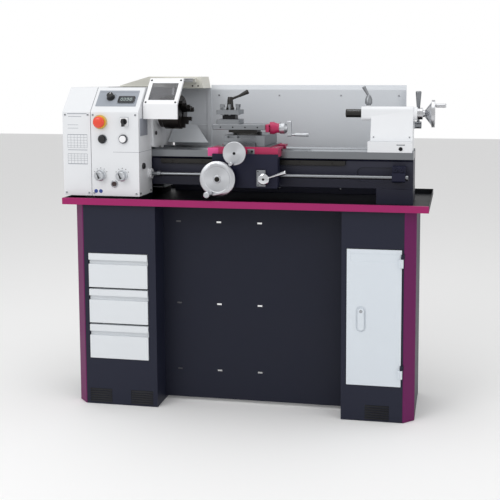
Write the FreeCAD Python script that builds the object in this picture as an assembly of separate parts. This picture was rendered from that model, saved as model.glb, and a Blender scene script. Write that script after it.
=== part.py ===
import FreeCAD, Part

import math
import os

# Metal lathe on a cabinet stand, in millimetres.
# +X runs along the bed towards the tailstock, -Y faces the operator, +Z is up.
# The origin is on the floor, at the centre of the four anchor holes, under the spindle axis.

V = FreeCAD.Vector
EPS = 0.01

# ---------------------------------------------------------------- driving dimensions
# fits
RUNNING = 0.05          # radial clearance of a shaft in its hole
SLIDING = 0.3           # clearance of flat sliding faces and of covers
DOOR_GAP = 2.0          # gap round drawers and the door

# stand
TRAY_LENGTH = 1304.0
TRAY_DEPTH = 505.0
TRAY_FRONT_Y = -238.0
TRAY_UNDERSIDE_Z = 738.0
TRAY_WALL_H = 21.0
SHEET = 2.0             # sheet metal of the tray, pedestals and panels
LIP_PROUD = 2.0
LIP_FLANGE = 12.0
LEFT_PED_X0 = -620.0
LEFT_PED_W = 309.0
RIGHT_PED_X1 = 610.0
RIGHT_PED_W = 254.0
PED_FRONT_Y = -222.0
PED_DEPTH = 330.0
PED_CHAMFER = 36.0
STRIP_T = 2.5           # coloured strip on the chamfered corner
VENT_W = 84.0
VENT_H = 54.0
VENT_BOTTOM = 4.0
KICK_PANEL_Y = -127.0
KICK_PANEL_BOTTOM = 12.0
KICK_SLOT_W = 17.0
KICK_SLOT_H = 6.0
ANCHOR_SPACING_X = 940.0
ANCHOR_SPACING_Y = 160.0
ANCHOR_HOLE_R = 7.0

# drawers and door
DRAWER_W = 221.0
DRAWER_H = 124.0
DRAWER_BOTTOM_Z = 172.0
DRAWER_PITCH = 131.0
DRAWER_BOX_DEPTH = 268.0
DRAWER_BOX_H = 96.0
DRAWER_WALL = 1.5
DRAWER_FRONT_T = 16.0
FRONT_PROUD = 3.0
DOOR_W = 188.0
DOOR_H = 477.0
DOOR_BOTTOM_Z = 128.0
DOOR_T = 16.0
LATCH_R = 17.0
LATCH_LENGTH = 90.0
LATCH_PIVOT_R = 5.0
HINGE_KNUCKLE_R = 4.5
HINGE_DOOR_PIN_R = 2.5
HINGE_KNUCKLE_H = 30.0

# bed
BED_X0 = -546.0
BED_X1 = 590.0
BED_TOP_Z = 925.0
BED_BOTTOM_Z = 795.0
BED_HALF_W = 75.0
BED_WALL_Y = 62.0       # outer face of the side walls below the ways
BED_WALL_T = 18.0
WAY_FLANGE_H = 25.0
FLANGE_SLOPE = 8.0
VEE_H = 7.0
VEE_Y = 56.0
RIB_PITCH = 130.0
RIB_T = 16.0
FOOT_LENGTH = 130.0
RACK_X0 = -336.0
RACK_X1 = 349.0
RACK_Z0 = 874.0
RACK_Z1 = 892.0
RACK_T = 10.0
RACK_PITCH = 4.71

# spindle line
AXIS_Z = 1060.0
SPINDLE_BORE_R = 13.0
JOURNAL_R = 20.0
BEARING_R = 36.0
BEARING_W = 20.0
SPINDLE_X0 = -612.0
NOSE_X = -352.0
CHUCK_R = 62.5
CHUCK_LENGTH = 66.0
BACKPLATE_T = 14.0
JAW_W = 14.0
JAW_SLOT_DEPTH = 14.0
JAW_INNER_R = 18.0
JAW_STEP = 13.5
JAW_REACH = 36.0
JAW_FIRST_DEG = 50.0

# headstock
HEAD_X0 = -655.0
HEAD_SEAM_X = -548.0
HEAD_X1 = -370.0
HEAD_FRONT_Y = -212.0
HEAD_BACK_Y = 186.0
HEAD_BOTTOM_Z = 766.0
HEAD_SLANT_Z = 1067.0
HEAD_SLANT_Y = -132.0
HEAD_TOP_Z = 1153.0
COVER_T = 4.0
CASTING_X0 = -538.0
CASTING_X1 = -362.0
CASTING_TOP_Z = 1128.0
COVER_SEAM_GAP = 2.0
COVER_KNUCKLES = (830.0, 1050.0)    # undersides of the gear cover's hinge knuckles
PLINTH_WALL = 3.0

# drive
GEAR_MODULE = 1.5
GEAR_FACE = 10.0
GEAR_X = -566.0         # left face of the gear plane
SPINDLE_TEETH = 40
IDLER_TEETH = 108
SCREW_TEETH = 80
TOOTH_THINNING = 0.35
BELT_X = -596.0         # left face of the belt plane
BELT_W = 16.0
BELT_T = 5.0
SPINDLE_PULLEY_R = 56.0
MOTOR_PULLEY_R = 25.0
MOTOR_Y = 130.0
MOTOR_Z = 850.0
MOTOR_R = 46.0
MOTOR_LENGTH = 150.0
MOTOR_SHAFT_R = 9.0
STUD_R = 8.0            # stud of the idler gear

# leadscrew
SCREW_Y = -100.0
SCREW_Z = 838.0
SCREW_R = 7.0
SCREW_X0 = -572.0
SCREW_X1 = 566.0
BRACKET_X0 = 518.0
BRACKET_X1 = 564.0

# panel controls: X and Z on the front face
ESTOP_AT = (-512.0, 1031.0)
SWITCH_AT = (-422.0, 1033.0)
START_AT = (-505.0, 970.0)
STOP_AT = (-427.0, 971.0)
FEED_KNOBS_AT = ((-514.0, 840.0), (-433.0, 840.0))
ESTOP_R = 20.5
BUTTON_R = 12.0
KNOB_R = 20.0
PRESS_TRAVEL = 4.0
STEM_R = 5.0            # stems of all knobs, buttons and small levers
PLATE_X0 = -537.0       # slanted display plate
PLATE_X1 = -386.0
PLATE_FROM = 26.0       # distances up the slanted face
PLATE_TO = 101.0
SPEED_KNOB_X = -487.0
SPEED_KNOB_UP = 66.0
SPEED_KNOB_R = 15.0
DISPLAY_X0 = -457.0
DISPLAY_X1 = -395.0
DISPLAY_FROM = 40.0
DISPLAY_TO = 71.0

# guards
GUARD_X0 = -366.0
GUARD_X1 = -240.0
GUARD_FRONT_Y = -172.0
GUARD_LOW_Z = 1041.0
GUARD_FOLD_Z = 1094.0
GUARD_TOP_Y = -85.0
GUARD_TOP_Z = 1186.0
GUARD_T = 2.0
GUARD_SIDE = 10.0
HINGE_Y = 66.0
HINGE_Z = 1178.0
HINGE_PIN_R = 5.0
HOOD_Y0 = 78.0
HOOD_Y1 = 186.0
HOOD_X0 = -546.0
HOOD_X1 = -214.0
HOOD_SLOPE_X = -430.0
HOOD_TOP_Z = 1192.0
SPLASH_Y = 188.0
SPLASH_T = 1.5
SPLASH_X0 = -364.0
SPLASH_X1 = 549.0
SPLASH_SEAM_X = -213.0
SPLASH_TOP_Z = 1160.0
SPLASH_RIM = 18.0

# carriage
SADDLE_X0 = -128.0
SADDLE_X1 = 118.0
SADDLE_FRONT_Y = -136.0
SADDLE_BACK_Y = 90.0
SADDLE_TOP_Z = 944.0
SADDLE_SKIRT_Z = 908.0
APRON_X0 = -119.0
APRON_X1 = 119.0
APRON_FRONT_Y = -150.0
APRON_BACK_Y = -112.0
APRON_BOTTOM_Z = 798.0
WHEEL_AT = (-89.0, 832.0)
WHEEL_R = 64.0
WHEEL_FACE_Y = -195.0
WHEEL_T = 14.0
WHEEL_SHAFT_R = 8.0
WHEEL_HANDLE_R = 55.0
CROSS_WHEEL_AT = (-18.0, 927.0)
CROSS_WHEEL_R = 41.0
CROSS_WHEEL_FACE_Y = -232.0
CROSS_SHAFT_R = 7.0
CROSS_BEARING_R = 17.0
HALF_NUT_AT = (72.0, 832.0)
HALF_NUT_HUB_R = 20.0

# cross slide, compound and tool post
CROSS_X0 = -86.0
CROSS_X1 = 66.0
CROSS_Y0 = -118.0
CROSS_Y1 = 104.0
CROSS_H = 38.0
POST_X = -74.0
POST_Y = -59.0
POST_SIDE = 82.0
SWIVEL_X = -10.0
SWIVEL_R = 52.0
SWIVEL_H = 18.0
TOP_SLIDE_X0 = -130.0
TOP_SLIDE_X1 = 64.0
TOP_SLIDE_HALF_Y = 43.0
TOP_SLIDE_H = 20.0
TOP_SLIDE_TRAVEL = 30.0
POST_FOOT_H = 17.0
POST_SLOT_H = 18.0
POST_TOP_H = 16.0
POST_CORE = 46.0
POST_STUD_R = 8.0
CRANK_BEARING_R = 22.0
CRANK_DIAL_R = 20.0
CRANK_SHAFT_R = 6.0

# tailstock
TAIL_X0 = 428.0
TAIL_X1 = 585.0
TAIL_BASE_H = 37.0
TAIL_HALF_Y = 50.0
BARREL_X0 = 400.0
BARREL_HALF = 25.0
QUILL_R = 15.0
QUILL_X0 = 342.0
QUILL_LENGTH = 195.0
QUILL_BORE_R = 8.9
QUILL_BORE_DEPTH = 60.0
TAIL_SCREW_R = 6.0
TAIL_WHEEL_R = 49.0
LOCK_X = 424.0
CLAMP_X = 600.0
CLAMP_Y = 34.0
CLAMP_Z = 1018.0

# ---------------------------------------------------------------- derived dimensions
TRAY_FLOOR_Z = TRAY_UNDERSIDE_Z + SHEET
TRAY_TOP_Z = TRAY_UNDERSIDE_Z + TRAY_WALL_H
TRAY_BACK_Y = TRAY_FRONT_Y + TRAY_DEPTH
TRAY_HALF = TRAY_LENGTH / 2
PED_BACK_Y = PED_FRONT_Y + PED_DEPTH
LEFT_PED_X1 = LEFT_PED_X0 + LEFT_PED_W
RIGHT_PED_X0 = RIGHT_PED_X1 - RIGHT_PED_W
LEFT_FACE_MID = (LEFT_PED_X0 + PED_CHAMFER + LEFT_PED_X1) / 2
RIGHT_FACE_MID = (RIGHT_PED_X0 + RIGHT_PED_X1 - PED_CHAMFER) / 2
DRAWER_X0 = LEFT_FACE_MID - DRAWER_W / 2 - 5
DOOR_X0 = RIGHT_FACE_MID - DOOR_W / 2 + 4
DOOR_X1 = DOOR_X0 + DOOR_W
FRONT_FACE_Y = PED_FRONT_Y - FRONT_PROUD
BOX_INSET = 8.0         # drawer box narrower than its front, each side
HEAD_SLANT_ANGLE = math.atan2(HEAD_TOP_Z - HEAD_SLANT_Z, HEAD_SLANT_Y - HEAD_FRONT_Y)
CHUCK_X0 = NOSE_X + BACKPLATE_T
CHUCK_X1 = CHUCK_X0 + CHUCK_LENGTH
CROSS_TOP_Z = SADDLE_TOP_Z + SLIDING + CROSS_H
SWIVEL_TOP_Z = CROSS_TOP_Z + SLIDING + SWIVEL_H
TOP_SLIDE_Z0 = SWIVEL_TOP_Z + SLIDING
TOP_SLIDE_Z1 = TOP_SLIDE_Z0 + TOP_SLIDE_H
POST_Z0 = TOP_SLIDE_Z1 + SLIDING
POST_Z1 = POST_Z0 + POST_FOOT_H
POST_Z2 = POST_Z1 + POST_SLOT_H
POST_Z3 = POST_Z2 + POST_TOP_H
CRANK_Z = TOP_SLIDE_Z0 + TOP_SLIDE_H / 2 - 4
TAIL_BASE_Z = BED_TOP_Z + TAIL_BASE_H


# ---------------------------------------------------------------- helpers
def box(x0, x1, y0, y1, z0, z1):
    return Part.makeBox(x1 - x0, y1 - y0, z1 - z0, V(x0, y0, z0))


def rod_x(x0, x1, y, z, r):
    return Part.makeCylinder(r, x1 - x0, V(x0, y, z), V(1, 0, 0))


def rod_y(y0, y1, x, z, r):
    return Part.makeCylinder(r, y1 - y0, V(x, y0, z), V(0, 1, 0))


def rod_z(z0, z1, x, y, r):
    return Part.makeCylinder(r, z1 - z0, V(x, y, z0), V(0, 0, 1))


def bar(start, end, r0, r1=None):
    """A round bar or, with two radii, a taper between two points."""
    start, end = V(*start), V(*end)
    way = end - start
    if r1 is None:
        return Part.makeCylinder(r0, way.Length, start, way)
    return Part.makeCone(r0, r1, way.Length, start, way)


def knob_bar(start, end, r0, r1):
    """A tapered grip with a rounded far end."""
    grip = bar(start, end, r0, r1)
    far = V(*end)
    rim = [e for e in grip.Edges if (e.CenterOfMass - far).Length < 0.5 * r1 and len(e.Vertexes) == 1]
    return grip.makeFillet(r1 * 0.45, rim)


def prism(points, direction):
    wire = Part.makePolygon(points + [points[0]])
    return Part.Face(wire).extrude(direction)


def prism_x(yz, x0, x1):
    return prism([V(x0, y, z) for y, z in yz], V(x1 - x0, 0, 0))


def prism_y(xz, y0, y1):
    return prism([V(x, y0, z) for x, z in xz], V(0, y1 - y0, 0))


def prism_z(xy, z0, z1):
    return prism([V(x, y, z0) for x, y in xy], V(0, 0, z1 - z0))


def turned_x(profile, y, z):
    """A solid of revolution about an X axis; profile is (x, radius) from the axis outwards."""
    points = [V(x, y, z + r) for x, r in profile]
    wire = Part.makePolygon(points + [points[0]])
    return Part.Face(wire).revolve(V(0, y, z), V(1, 0, 0), 360)


def turned_y(profile, x, z):
    points = [V(x, y, z + r) for y, r in profile]
    wire = Part.makePolygon(points + [points[0]])
    return Part.Face(wire).revolve(V(x, 0, z), V(0, 1, 0), 360)


def turned_z(profile, x, y):
    points = [V(x + r, y, z) for z, r in profile]
    wire = Part.makePolygon(points + [points[0]])
    return Part.Face(wire).revolve(V(x, y, 0), V(0, 0, 1), 360)


def fuse(first, *others):
    return first.fuse(list(others)).removeSplitter()


def cut(shape, *tools):
    return shape.cut(list(tools))


def edges_along(shape, axis):
    """Straight edges of a shape that run along one axis."""
    found = []
    for edge in shape.Edges:
        if isinstance(edge.Curve, Part.Line) and abs(edge.Curve.Direction.dot(axis)) > 0.999:
            found.append(edge)
    return found


def slot_y(x, z, width, height, y0, y1):
    """An upright rounded slot through Y; its height includes the round ends."""
    r = width / 2
    reach = height / 2 - r
    middle = box(x - r, x + r, y0, y1, z - reach, z + reach)
    return fuse(middle, rod_y(y0, y1, x, z - reach, r), rod_y(y0, y1, x, z + reach, r))


def save(node, *solids):
    shape = solids[0] if len(solids) == 1 else Part.makeCompound(list(solids))
    shape.exportStep("parts/" + node + ".step")


# ---------------------------------------------------------------- stand
def pedestal_outline(x0, x1, inset, chamfer_side, chamfer):
    """Plan of a pedestal with one chamfered front corner, drawn inwards by inset."""
    y0, y1 = PED_FRONT_Y + inset, PED_BACK_Y - inset
    x0, x1 = x0 + inset, x1 - inset
    c = chamfer - inset * (2 - math.sqrt(2))
    if chamfer_side < 0:
        return [(x0, y0 + c), (x0 + c, y0), (x1, y0), (x1, y1), (x0, y1)]
    return [(x0, y0), (x1 - c, y0), (x1, y0 + c), (x1, y1), (x0, y1)]


def pedestal_shell(x0, x1, side):
    chamfer = PED_CHAMFER + STRIP_T * math.sqrt(2)
    outside = prism_z(pedestal_outline(x0, x1, 0, side, chamfer), 0, TRAY_UNDERSIDE_Z)
    inside = prism_z(
        pedestal_outline(x0, x1, SHEET, side, chamfer), SHEET, TRAY_UNDERSIDE_Z - SHEET
    )
    return cut(outside, inside)


def anchor_holes(x):
    return [
        rod_z(-1, SHEET + 1, x, y, ANCHOR_HOLE_R)
        for y in (-ANCHOR_SPACING_Y / 2, ANCHOR_SPACING_Y / 2)
    ]


def vent(x):
    """A recessed grille opening low in a pedestal's front."""
    return box(
        x - VENT_W / 2, x + VENT_W / 2, PED_FRONT_Y - 1, PED_FRONT_Y + SHEET + 1,
        VENT_BOTTOM + SHEET, VENT_BOTTOM + VENT_H,
    )


def vent_backing(x):
    """Plate that closes a vent's opening from inside."""
    return box(
        x - VENT_W / 2 - 4, x + VENT_W / 2 + 4, PED_FRONT_Y + SHEET, PED_FRONT_Y + SHEET + 1.5,
        VENT_BOTTOM, VENT_BOTTOM + VENT_H + 4,
    )


def build_left_pedestal():
    shell = pedestal_shell(LEFT_PED_X0, LEFT_PED_X1, -1)
    x0 = DRAWER_X0 - DOOR_GAP
    x1 = DRAWER_X0 + DRAWER_W + DOOR_GAP
    z0 = DRAWER_BOTTOM_Z - DOOR_GAP
    z1 = DRAWER_BOTTOM_Z + 2 * DRAWER_PITCH + DRAWER_H + DOOR_GAP
    opening = box(x0, x1, PED_FRONT_Y - 1, PED_FRONT_Y + SHEET + 1, z0, z1)
    vents = [vent(x) for x in (LEFT_FACE_MID - 78, LEFT_FACE_MID + 78)]
    shell = cut(shell, opening, *vents, *anchor_holes(-ANCHOR_SPACING_X / 2))
    pieces = [vent_backing(x) for x in (LEFT_FACE_MID - 78, LEFT_FACE_MID + 78)]
    back = PED_FRONT_Y + DRAWER_FRONT_T + DRAWER_BOX_DEPTH + 10
    rail_y0 = PED_FRONT_Y + SHEET
    # two upright partitions carry the runners on both sides of the drawers
    for x, out in ((x0 - SHEET, 1), (x1, -1)):
        pieces.append(box(x, x + SHEET, rail_y0, back, SHEET, TRAY_UNDERSIDE_Z - SHEET))
        for n in range(3):
            z = DRAWER_BOTTOM_Z + n * DRAWER_PITCH + 6 - SLIDING
            inner = x + SHEET if out > 0 else x
            reach = DOOR_GAP + BOX_INSET + 10
            a, b = (inner, inner + reach) if out > 0 else (inner - reach, inner)
            pieces.append(box(a, b, PED_FRONT_Y + DRAWER_FRONT_T + 4, back, z - SHEET, z))
    return fuse(shell, *pieces)


def build_right_pedestal():
    shell = pedestal_shell(RIGHT_PED_X0, RIGHT_PED_X1, 1)
    opening = box(
        DOOR_X0 - DOOR_GAP, DOOR_X1 + DOOR_GAP, PED_FRONT_Y - 1, PED_FRONT_Y + SHEET + 1,
        DOOR_BOTTOM_Z - DOOR_GAP, DOOR_BOTTOM_Z + DOOR_H + DOOR_GAP,
    )
    vent_x = RIGHT_FACE_MID + 17
    shell = cut(shell, opening, vent(vent_x), *anchor_holes(ANCHOR_SPACING_X / 2))
    pieces = [vent_backing(vent_x)]
    for low, high in hinge_levels():
        knuckle = rod_z(high + SLIDING, high + 16, *hinge_axis(), HINGE_KNUCKLE_R)
        neck = box(
            hinge_axis()[0] - 0.5, hinge_axis()[0] + 8, hinge_axis()[1], PED_FRONT_Y,
            high + SLIDING, high + 16,
        )
        pin = rod_z(low + 4, high + 8, *hinge_axis(), HINGE_DOOR_PIN_R)
        pieces += [knuckle, neck, pin]
    return fuse(shell, *pieces)


def hinge_axis():
    return DOOR_X1 + 1.5, FRONT_FACE_Y - 5


def hinge_levels():
    low = DOOR_BOTTOM_Z + 30
    high = DOOR_BOTTOM_Z + DOOR_H - 60
    return [(low, low + HINGE_KNUCKLE_H), (high, high + HINGE_KNUCKLE_H)]


def build_corner_strips():
    strips = []
    depth = STRIP_T * math.sqrt(2)
    for corner, side in ((LEFT_PED_X0, 1), (RIGHT_PED_X1, -1)):
        c = PED_CHAMFER
        outline = [
            (corner, PED_FRONT_Y + c),
            (corner + side * c, PED_FRONT_Y),
            (corner + side * (c + depth), PED_FRONT_Y),
            (corner, PED_FRONT_Y + c + depth),
        ]
        strips.append(prism_z(outline, 0, TRAY_UNDERSIDE_Z))
    return strips


def build_kick_panel():
    y0, y1 = KICK_PANEL_Y, KICK_PANEL_Y + SHEET
    panel = box(LEFT_PED_X1, RIGHT_PED_X0, y0, y1, KICK_PANEL_BOTTOM, TRAY_UNDERSIDE_Z)
    flange = box(LEFT_PED_X1, RIGHT_PED_X0, y1, y1 + 14, KICK_PANEL_BOTTOM, KICK_PANEL_BOTTOM + SHEET)
    holes = []
    for column in range(3):
        x = LEFT_PED_X1 + 49 + column * 151
        for z in (118, 366, 668):
            holes.append(box(
                x, x + KICK_SLOT_W, y0 - 1, y1 + 1, z - KICK_SLOT_H / 2, z + KICK_SLOT_H / 2
            ))
    return cut(fuse(panel, flange), *holes)


def build_tray():
    floor = box(-TRAY_HALF, TRAY_HALF, TRAY_FRONT_Y, TRAY_BACK_Y, TRAY_UNDERSIDE_Z, TRAY_FLOOR_Z)
    walls = [
        box(-TRAY_HALF, -TRAY_HALF + SHEET, TRAY_FRONT_Y, TRAY_BACK_Y, TRAY_UNDERSIDE_Z, TRAY_TOP_Z),
        box(TRAY_HALF - SHEET, TRAY_HALF, TRAY_FRONT_Y, TRAY_BACK_Y, TRAY_UNDERSIDE_Z, TRAY_TOP_Z),
        box(-TRAY_HALF, TRAY_HALF, TRAY_BACK_Y - SHEET, TRAY_BACK_Y, TRAY_UNDERSIDE_Z, TRAY_TOP_Z),
        box(-TRAY_HALF, TRAY_HALF, TRAY_FRONT_Y, TRAY_FRONT_Y + SHEET, TRAY_UNDERSIDE_Z,
            TRAY_TOP_Z - SHEET),
    ]
    y0, y1 = HEAD_FRONT_Y + 14, HEAD_BACK_Y - 12
    x0, x1 = HEAD_SEAM_X + 4, HEAD_X1 - 8
    plinth = box(x0, x1, y0, y1, TRAY_FLOOR_Z - EPS, HEAD_BOTTOM_Z)
    t = PLINTH_WALL
    hollow = box(x0 + t, x1 - t, y0 + t, y1 - t, TRAY_FLOOR_Z, HEAD_BOTTOM_Z + 1)
    y = BED_WALL_Y + 10 + SLIDING
    way_through = box(x0 - 1, x1 + 1, -y, y, TRAY_FLOOR_Z, HEAD_BOTTOM_Z + 1)
    return fuse(floor, cut(plinth, hollow, way_through), *walls)


def build_lip():
    """Coloured channel that caps the tray's front edge."""
    y0 = TRAY_FRONT_Y - LIP_PROUD
    face = box(-TRAY_HALF, TRAY_HALF, y0, TRAY_FRONT_Y, TRAY_UNDERSIDE_Z - SHEET, TRAY_TOP_Z)
    top = box(
        -TRAY_HALF + SHEET, TRAY_HALF - SHEET, y0, TRAY_FRONT_Y + LIP_FLANGE,
        TRAY_TOP_Z - SHEET, TRAY_TOP_Z,
    )
    low = box(
        -TRAY_HALF, TRAY_HALF, y0, TRAY_FRONT_Y + LIP_FLANGE,
        TRAY_UNDERSIDE_Z - SHEET, TRAY_UNDERSIDE_Z,
    )
    return fuse(face, top, low)


def build_drawer(level):
    """One drawer: a folded front with a grip groove, and an open box behind it."""
    z0 = DRAWER_BOTTOM_Z + level * DRAWER_PITCH
    z1 = z0 + DRAWER_H
    y0 = FRONT_FACE_Y
    y1 = PED_FRONT_Y + DRAWER_FRONT_T
    grip_top, grip_low, grip_deep = z1 - 24, z1 - 40, 10
    profile = [
        (y0, z0), (y0, grip_low), (y0 + grip_deep, grip_low + 2), (y0 + grip_deep, grip_top + 6),
        (y0 + 4, grip_top + 6), (y0 + 4, grip_top), (y0, grip_top), (y0, z1), (y1, z1), (y1, z0),
    ]
    x0, x1 = DRAWER_X0, DRAWER_X0 + DRAWER_W
    front = prism_x(profile, x0, x1)
    bx0, bx1 = x0 + BOX_INSET, x1 - BOX_INSET
    by1 = y1 + DRAWER_BOX_DEPTH
    bz0, bz1 = z0 + 6, z0 + 6 + DRAWER_BOX_H
    outer = box(bx0, bx1, y1 - EPS, by1, bz0, bz1)
    t = DRAWER_WALL
    inner = box(bx0 + t, bx1 - t, y1, by1 - t, bz0 + t, bz1 + 1)
    return fuse(front, cut(outer, inner))


def build_door():
    y0, y1 = FRONT_FACE_Y, FRONT_FACE_Y + DOOR_T
    z0, z1 = DOOR_BOTTOM_Z, DOOR_BOTTOM_Z + DOOR_H
    panel = box(DOOR_X0, DOOR_X1, y0, y1, z0, z1)
    hollow = box(DOOR_X0 + 14, DOOR_X1 - 14, y0 + 4, y1 + 1, z0 + 14, z1 - 14)
    emboss = box(DOOR_X0 + 12, DOOR_X1 - 12, y0 - 1, y0 + 1, z1 - 42, z1 - 14)
    x, z = latch_place()
    dish = slot_y(x, z - LATCH_LENGTH / 2 + LATCH_R, 2 * LATCH_R, LATCH_LENGTH, y0 - 1, y0 + 2)
    pieces = [cut(panel, hollow, emboss, dish)]
    ax, ay = hinge_axis()
    for low, high in hinge_levels():
        knuckle = rod_z(low, high, ax, ay, HINGE_KNUCKLE_R)
        neck = box(ax - 12, ax - 0.5, ay, y0, low, high)
        pieces.append(fuse(knuckle, neck))
    door = fuse(*pieces)
    bores = [
        rod_z(low + 3, high + 1, ax, ay, HINGE_DOOR_PIN_R + RUNNING) for low, high in hinge_levels()
    ]
    pivot = rod_y(y0 - 1, y1 + 1, x, z, LATCH_PIVOT_R + RUNNING)
    return cut(door, *bores, pivot)


def latch_place():
    """Pivot of the latch handle, near the top of its dish."""
    return DOOR_X0 + 50, DOOR_BOTTOM_Z + 262


def build_latch():
    x, z = latch_place()
    y = FRONT_FACE_Y
    handle = slot_y(x, z - 29, 22, 78, y - 5, y - SLIDING)
    handle = handle.makeFillet(1.5, [e for e in handle.Edges if e.CenterOfMass.y < y - 4.9])
    pivot = rod_y(y - 1, y + DOOR_T + 2, x, z, LATCH_PIVOT_R)
    return fuse(handle, pivot)


# ---------------------------------------------------------------- bed
def build_bed():
    """Lathe bed: two walls with vee ways, cross ribs and a foot at each end."""
    top, low = BED_TOP_Z, BED_BOTTOM_Z
    flange = top - WAY_FLANGE_H
    w, y = BED_HALF_W, BED_WALL_Y
    vee = [
        (-VEE_Y - VEE_H, top), (-VEE_Y, top + VEE_H), (-VEE_Y + VEE_H, top),
        (VEE_Y - VEE_H, top), (VEE_Y, top + VEE_H), (VEE_Y + VEE_H, top),
    ]
    section = [(-w, flange), (-w, top)] + vee + [
        (w, top), (w, flange), (y, flange - FLANGE_SLOPE), (y, low), (-y, low), (-y, flange - FLANGE_SLOPE),
    ]
    casting = prism_x(section, BED_X0, BED_X1)
    pockets = []
    inner = BED_WALL_Y - BED_WALL_T
    count = int((BED_X1 - BED_X0 - RIB_T) // RIB_PITCH)
    pitch = (BED_X1 - BED_X0 - RIB_T) / count
    for n in range(count):
        x0 = BED_X0 + RIB_T + n * pitch
        pockets.append(box(x0, x0 + pitch - RIB_T, -inner, inner, low + 14, top + VEE_H + 1))
    x1 = BED_X1 - 30
    panel = box(x1 - 170, x1, -y - 1, -y + 5, low + 22, flange - 30)
    panel = panel.makeFillet(20, edges_along(panel, V(0, 1, 0)))
    casting = cut(casting, *pockets, panel)
    feet = [
        box(BED_X0, BED_X0 + FOOT_LENGTH, -y - 10, y + 10, TRAY_FLOOR_Z, low),
        box(BED_X1 - FOOT_LENGTH, BED_X1, -y - 10, y + 10, TRAY_FLOOR_Z, low),
    ]
    return fuse(casting, *feet)


def build_rack():
    """Feed rack under the front way, with its teeth facing down, and its screws."""
    y0, y1 = -BED_WALL_Y - RACK_T, -BED_WALL_Y
    depth = RACK_PITCH * 0.7
    points = [(RACK_X0, RACK_Z1), (RACK_X0, RACK_Z0 + depth)]
    x = RACK_X0 + 3
    while x + RACK_PITCH < RACK_X1 - 3:
        step = RACK_PITCH / 8
        points += [(x, RACK_Z0 + depth), (x + 1.5 * step, RACK_Z0)]
        points += [(x + 4.5 * step, RACK_Z0), (x + 6 * step, RACK_Z0 + depth)]
        x += RACK_PITCH
    points += [(RACK_X1, RACK_Z0 + depth), (RACK_X1, RACK_Z1)]
    rack = prism_y(points, y0, y1)
    solids = []
    holes = []
    middle = (RACK_Z0 + RACK_Z1) / 2 + 1
    for x in (-289, -176, 0, 187, 304):
        holes.append(rod_y(y0 - 1, y0 + 5, x, middle, 5.5))
        head = rod_y(y0 + 0.5, y0 + 5, x, middle, 5.2)
        solids.append(cut(head, rod_y(y0, y0 + 3, x, middle, 2.5)))
    return [cut(rack, *holes)] + solids


def build_leadscrew():
    screw = rod_x(SCREW_X0, SCREW_X1, SCREW_Y, SCREW_Z, SCREW_R)
    collar = rod_x(HEAD_X1 + 30, HEAD_X1 + 44, SCREW_Y, SCREW_Z, SCREW_R + 4)
    tip = rod_x(SCREW_X1, SCREW_X1 + 8, SCREW_Y, SCREW_Z, SCREW_R + 3)
    end = rod_x(SCREW_X0 - 6, SCREW_X0, SCREW_Y, SCREW_Z, SCREW_R + 4)
    return fuse(screw, collar, tip, end)


def build_bracket():
    """Right-hand leadscrew bracket, screwed to the bed."""
    y0, y1 = SCREW_Y - 16, -BED_WALL_Y
    block = box(BRACKET_X0, BRACKET_X1, y0, y1, SCREW_Z - 14, SCREW_Z + 40)
    block = block.makeFillet(6, edges_along(block, V(1, 0, 0))[:2])
    step = box(BRACKET_X0 - 1, BRACKET_X1 + 1, y0 - 1, y0 + 12, SCREW_Z + 18, SCREW_Z + 41)
    bore = rod_x(BRACKET_X0 - 1, BRACKET_X1 + 1, SCREW_Y, SCREW_Z, SCREW_R + RUNNING)
    block = cut(block, step, bore)
    screws = []
    for x in (BRACKET_X0 + 12, BRACKET_X1 - 12):
        head = rod_y(y0 + 4, y0 + 12, x, SCREW_Z + 29, 6)
        screws.append(cut(head, rod_y(y0, y0 + 8, x, SCREW_Z + 29, 2.6)))
    return fuse(block, *screws)


# ---------------------------------------------------------------- headstock
def head_profile(inset):
    """Side outline of the headstock cover, drawn inwards by inset."""
    a = HEAD_SLANT_ANGLE
    y0, y1 = HEAD_FRONT_Y + inset, HEAD_BACK_Y - inset
    z0, z1 = HEAD_BOTTOM_Z + inset, HEAD_TOP_Z - inset
    fold_z = HEAD_SLANT_Z - inset * math.cos(a) / (1 + math.sin(a))
    fold_y = HEAD_SLANT_Y + inset * math.tan(a / 2)
    return [(y0, z0), (y0, fold_z), (fold_y, z1), (y1, z1), (y1, z0)]


def slant_point(x, up, out):
    """A point on the slanted face: up along the slope, out along its normal."""
    a = HEAD_SLANT_ANGLE
    y = HEAD_FRONT_Y + up * math.cos(a) - out * math.sin(a)
    z = HEAD_SLANT_Z + up * math.sin(a) + out * math.cos(a)
    return V(x, y, z)


def slant_box(x0, x1, up0, up1, out0, out1):
    corners = [(x0, up0, out0), (x0, up1, out0), (x0, up1, out1), (x0, up0, out1)]
    return prism([slant_point(*c) for c in corners], V(x1 - x0, 0, 0))


def slant_rod(x, up, r, out0, out1):
    start, end = slant_point(x, up, out0), slant_point(x, up, out1)
    return Part.makeCylinder(r, (end - start).Length, start, end - start)


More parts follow.
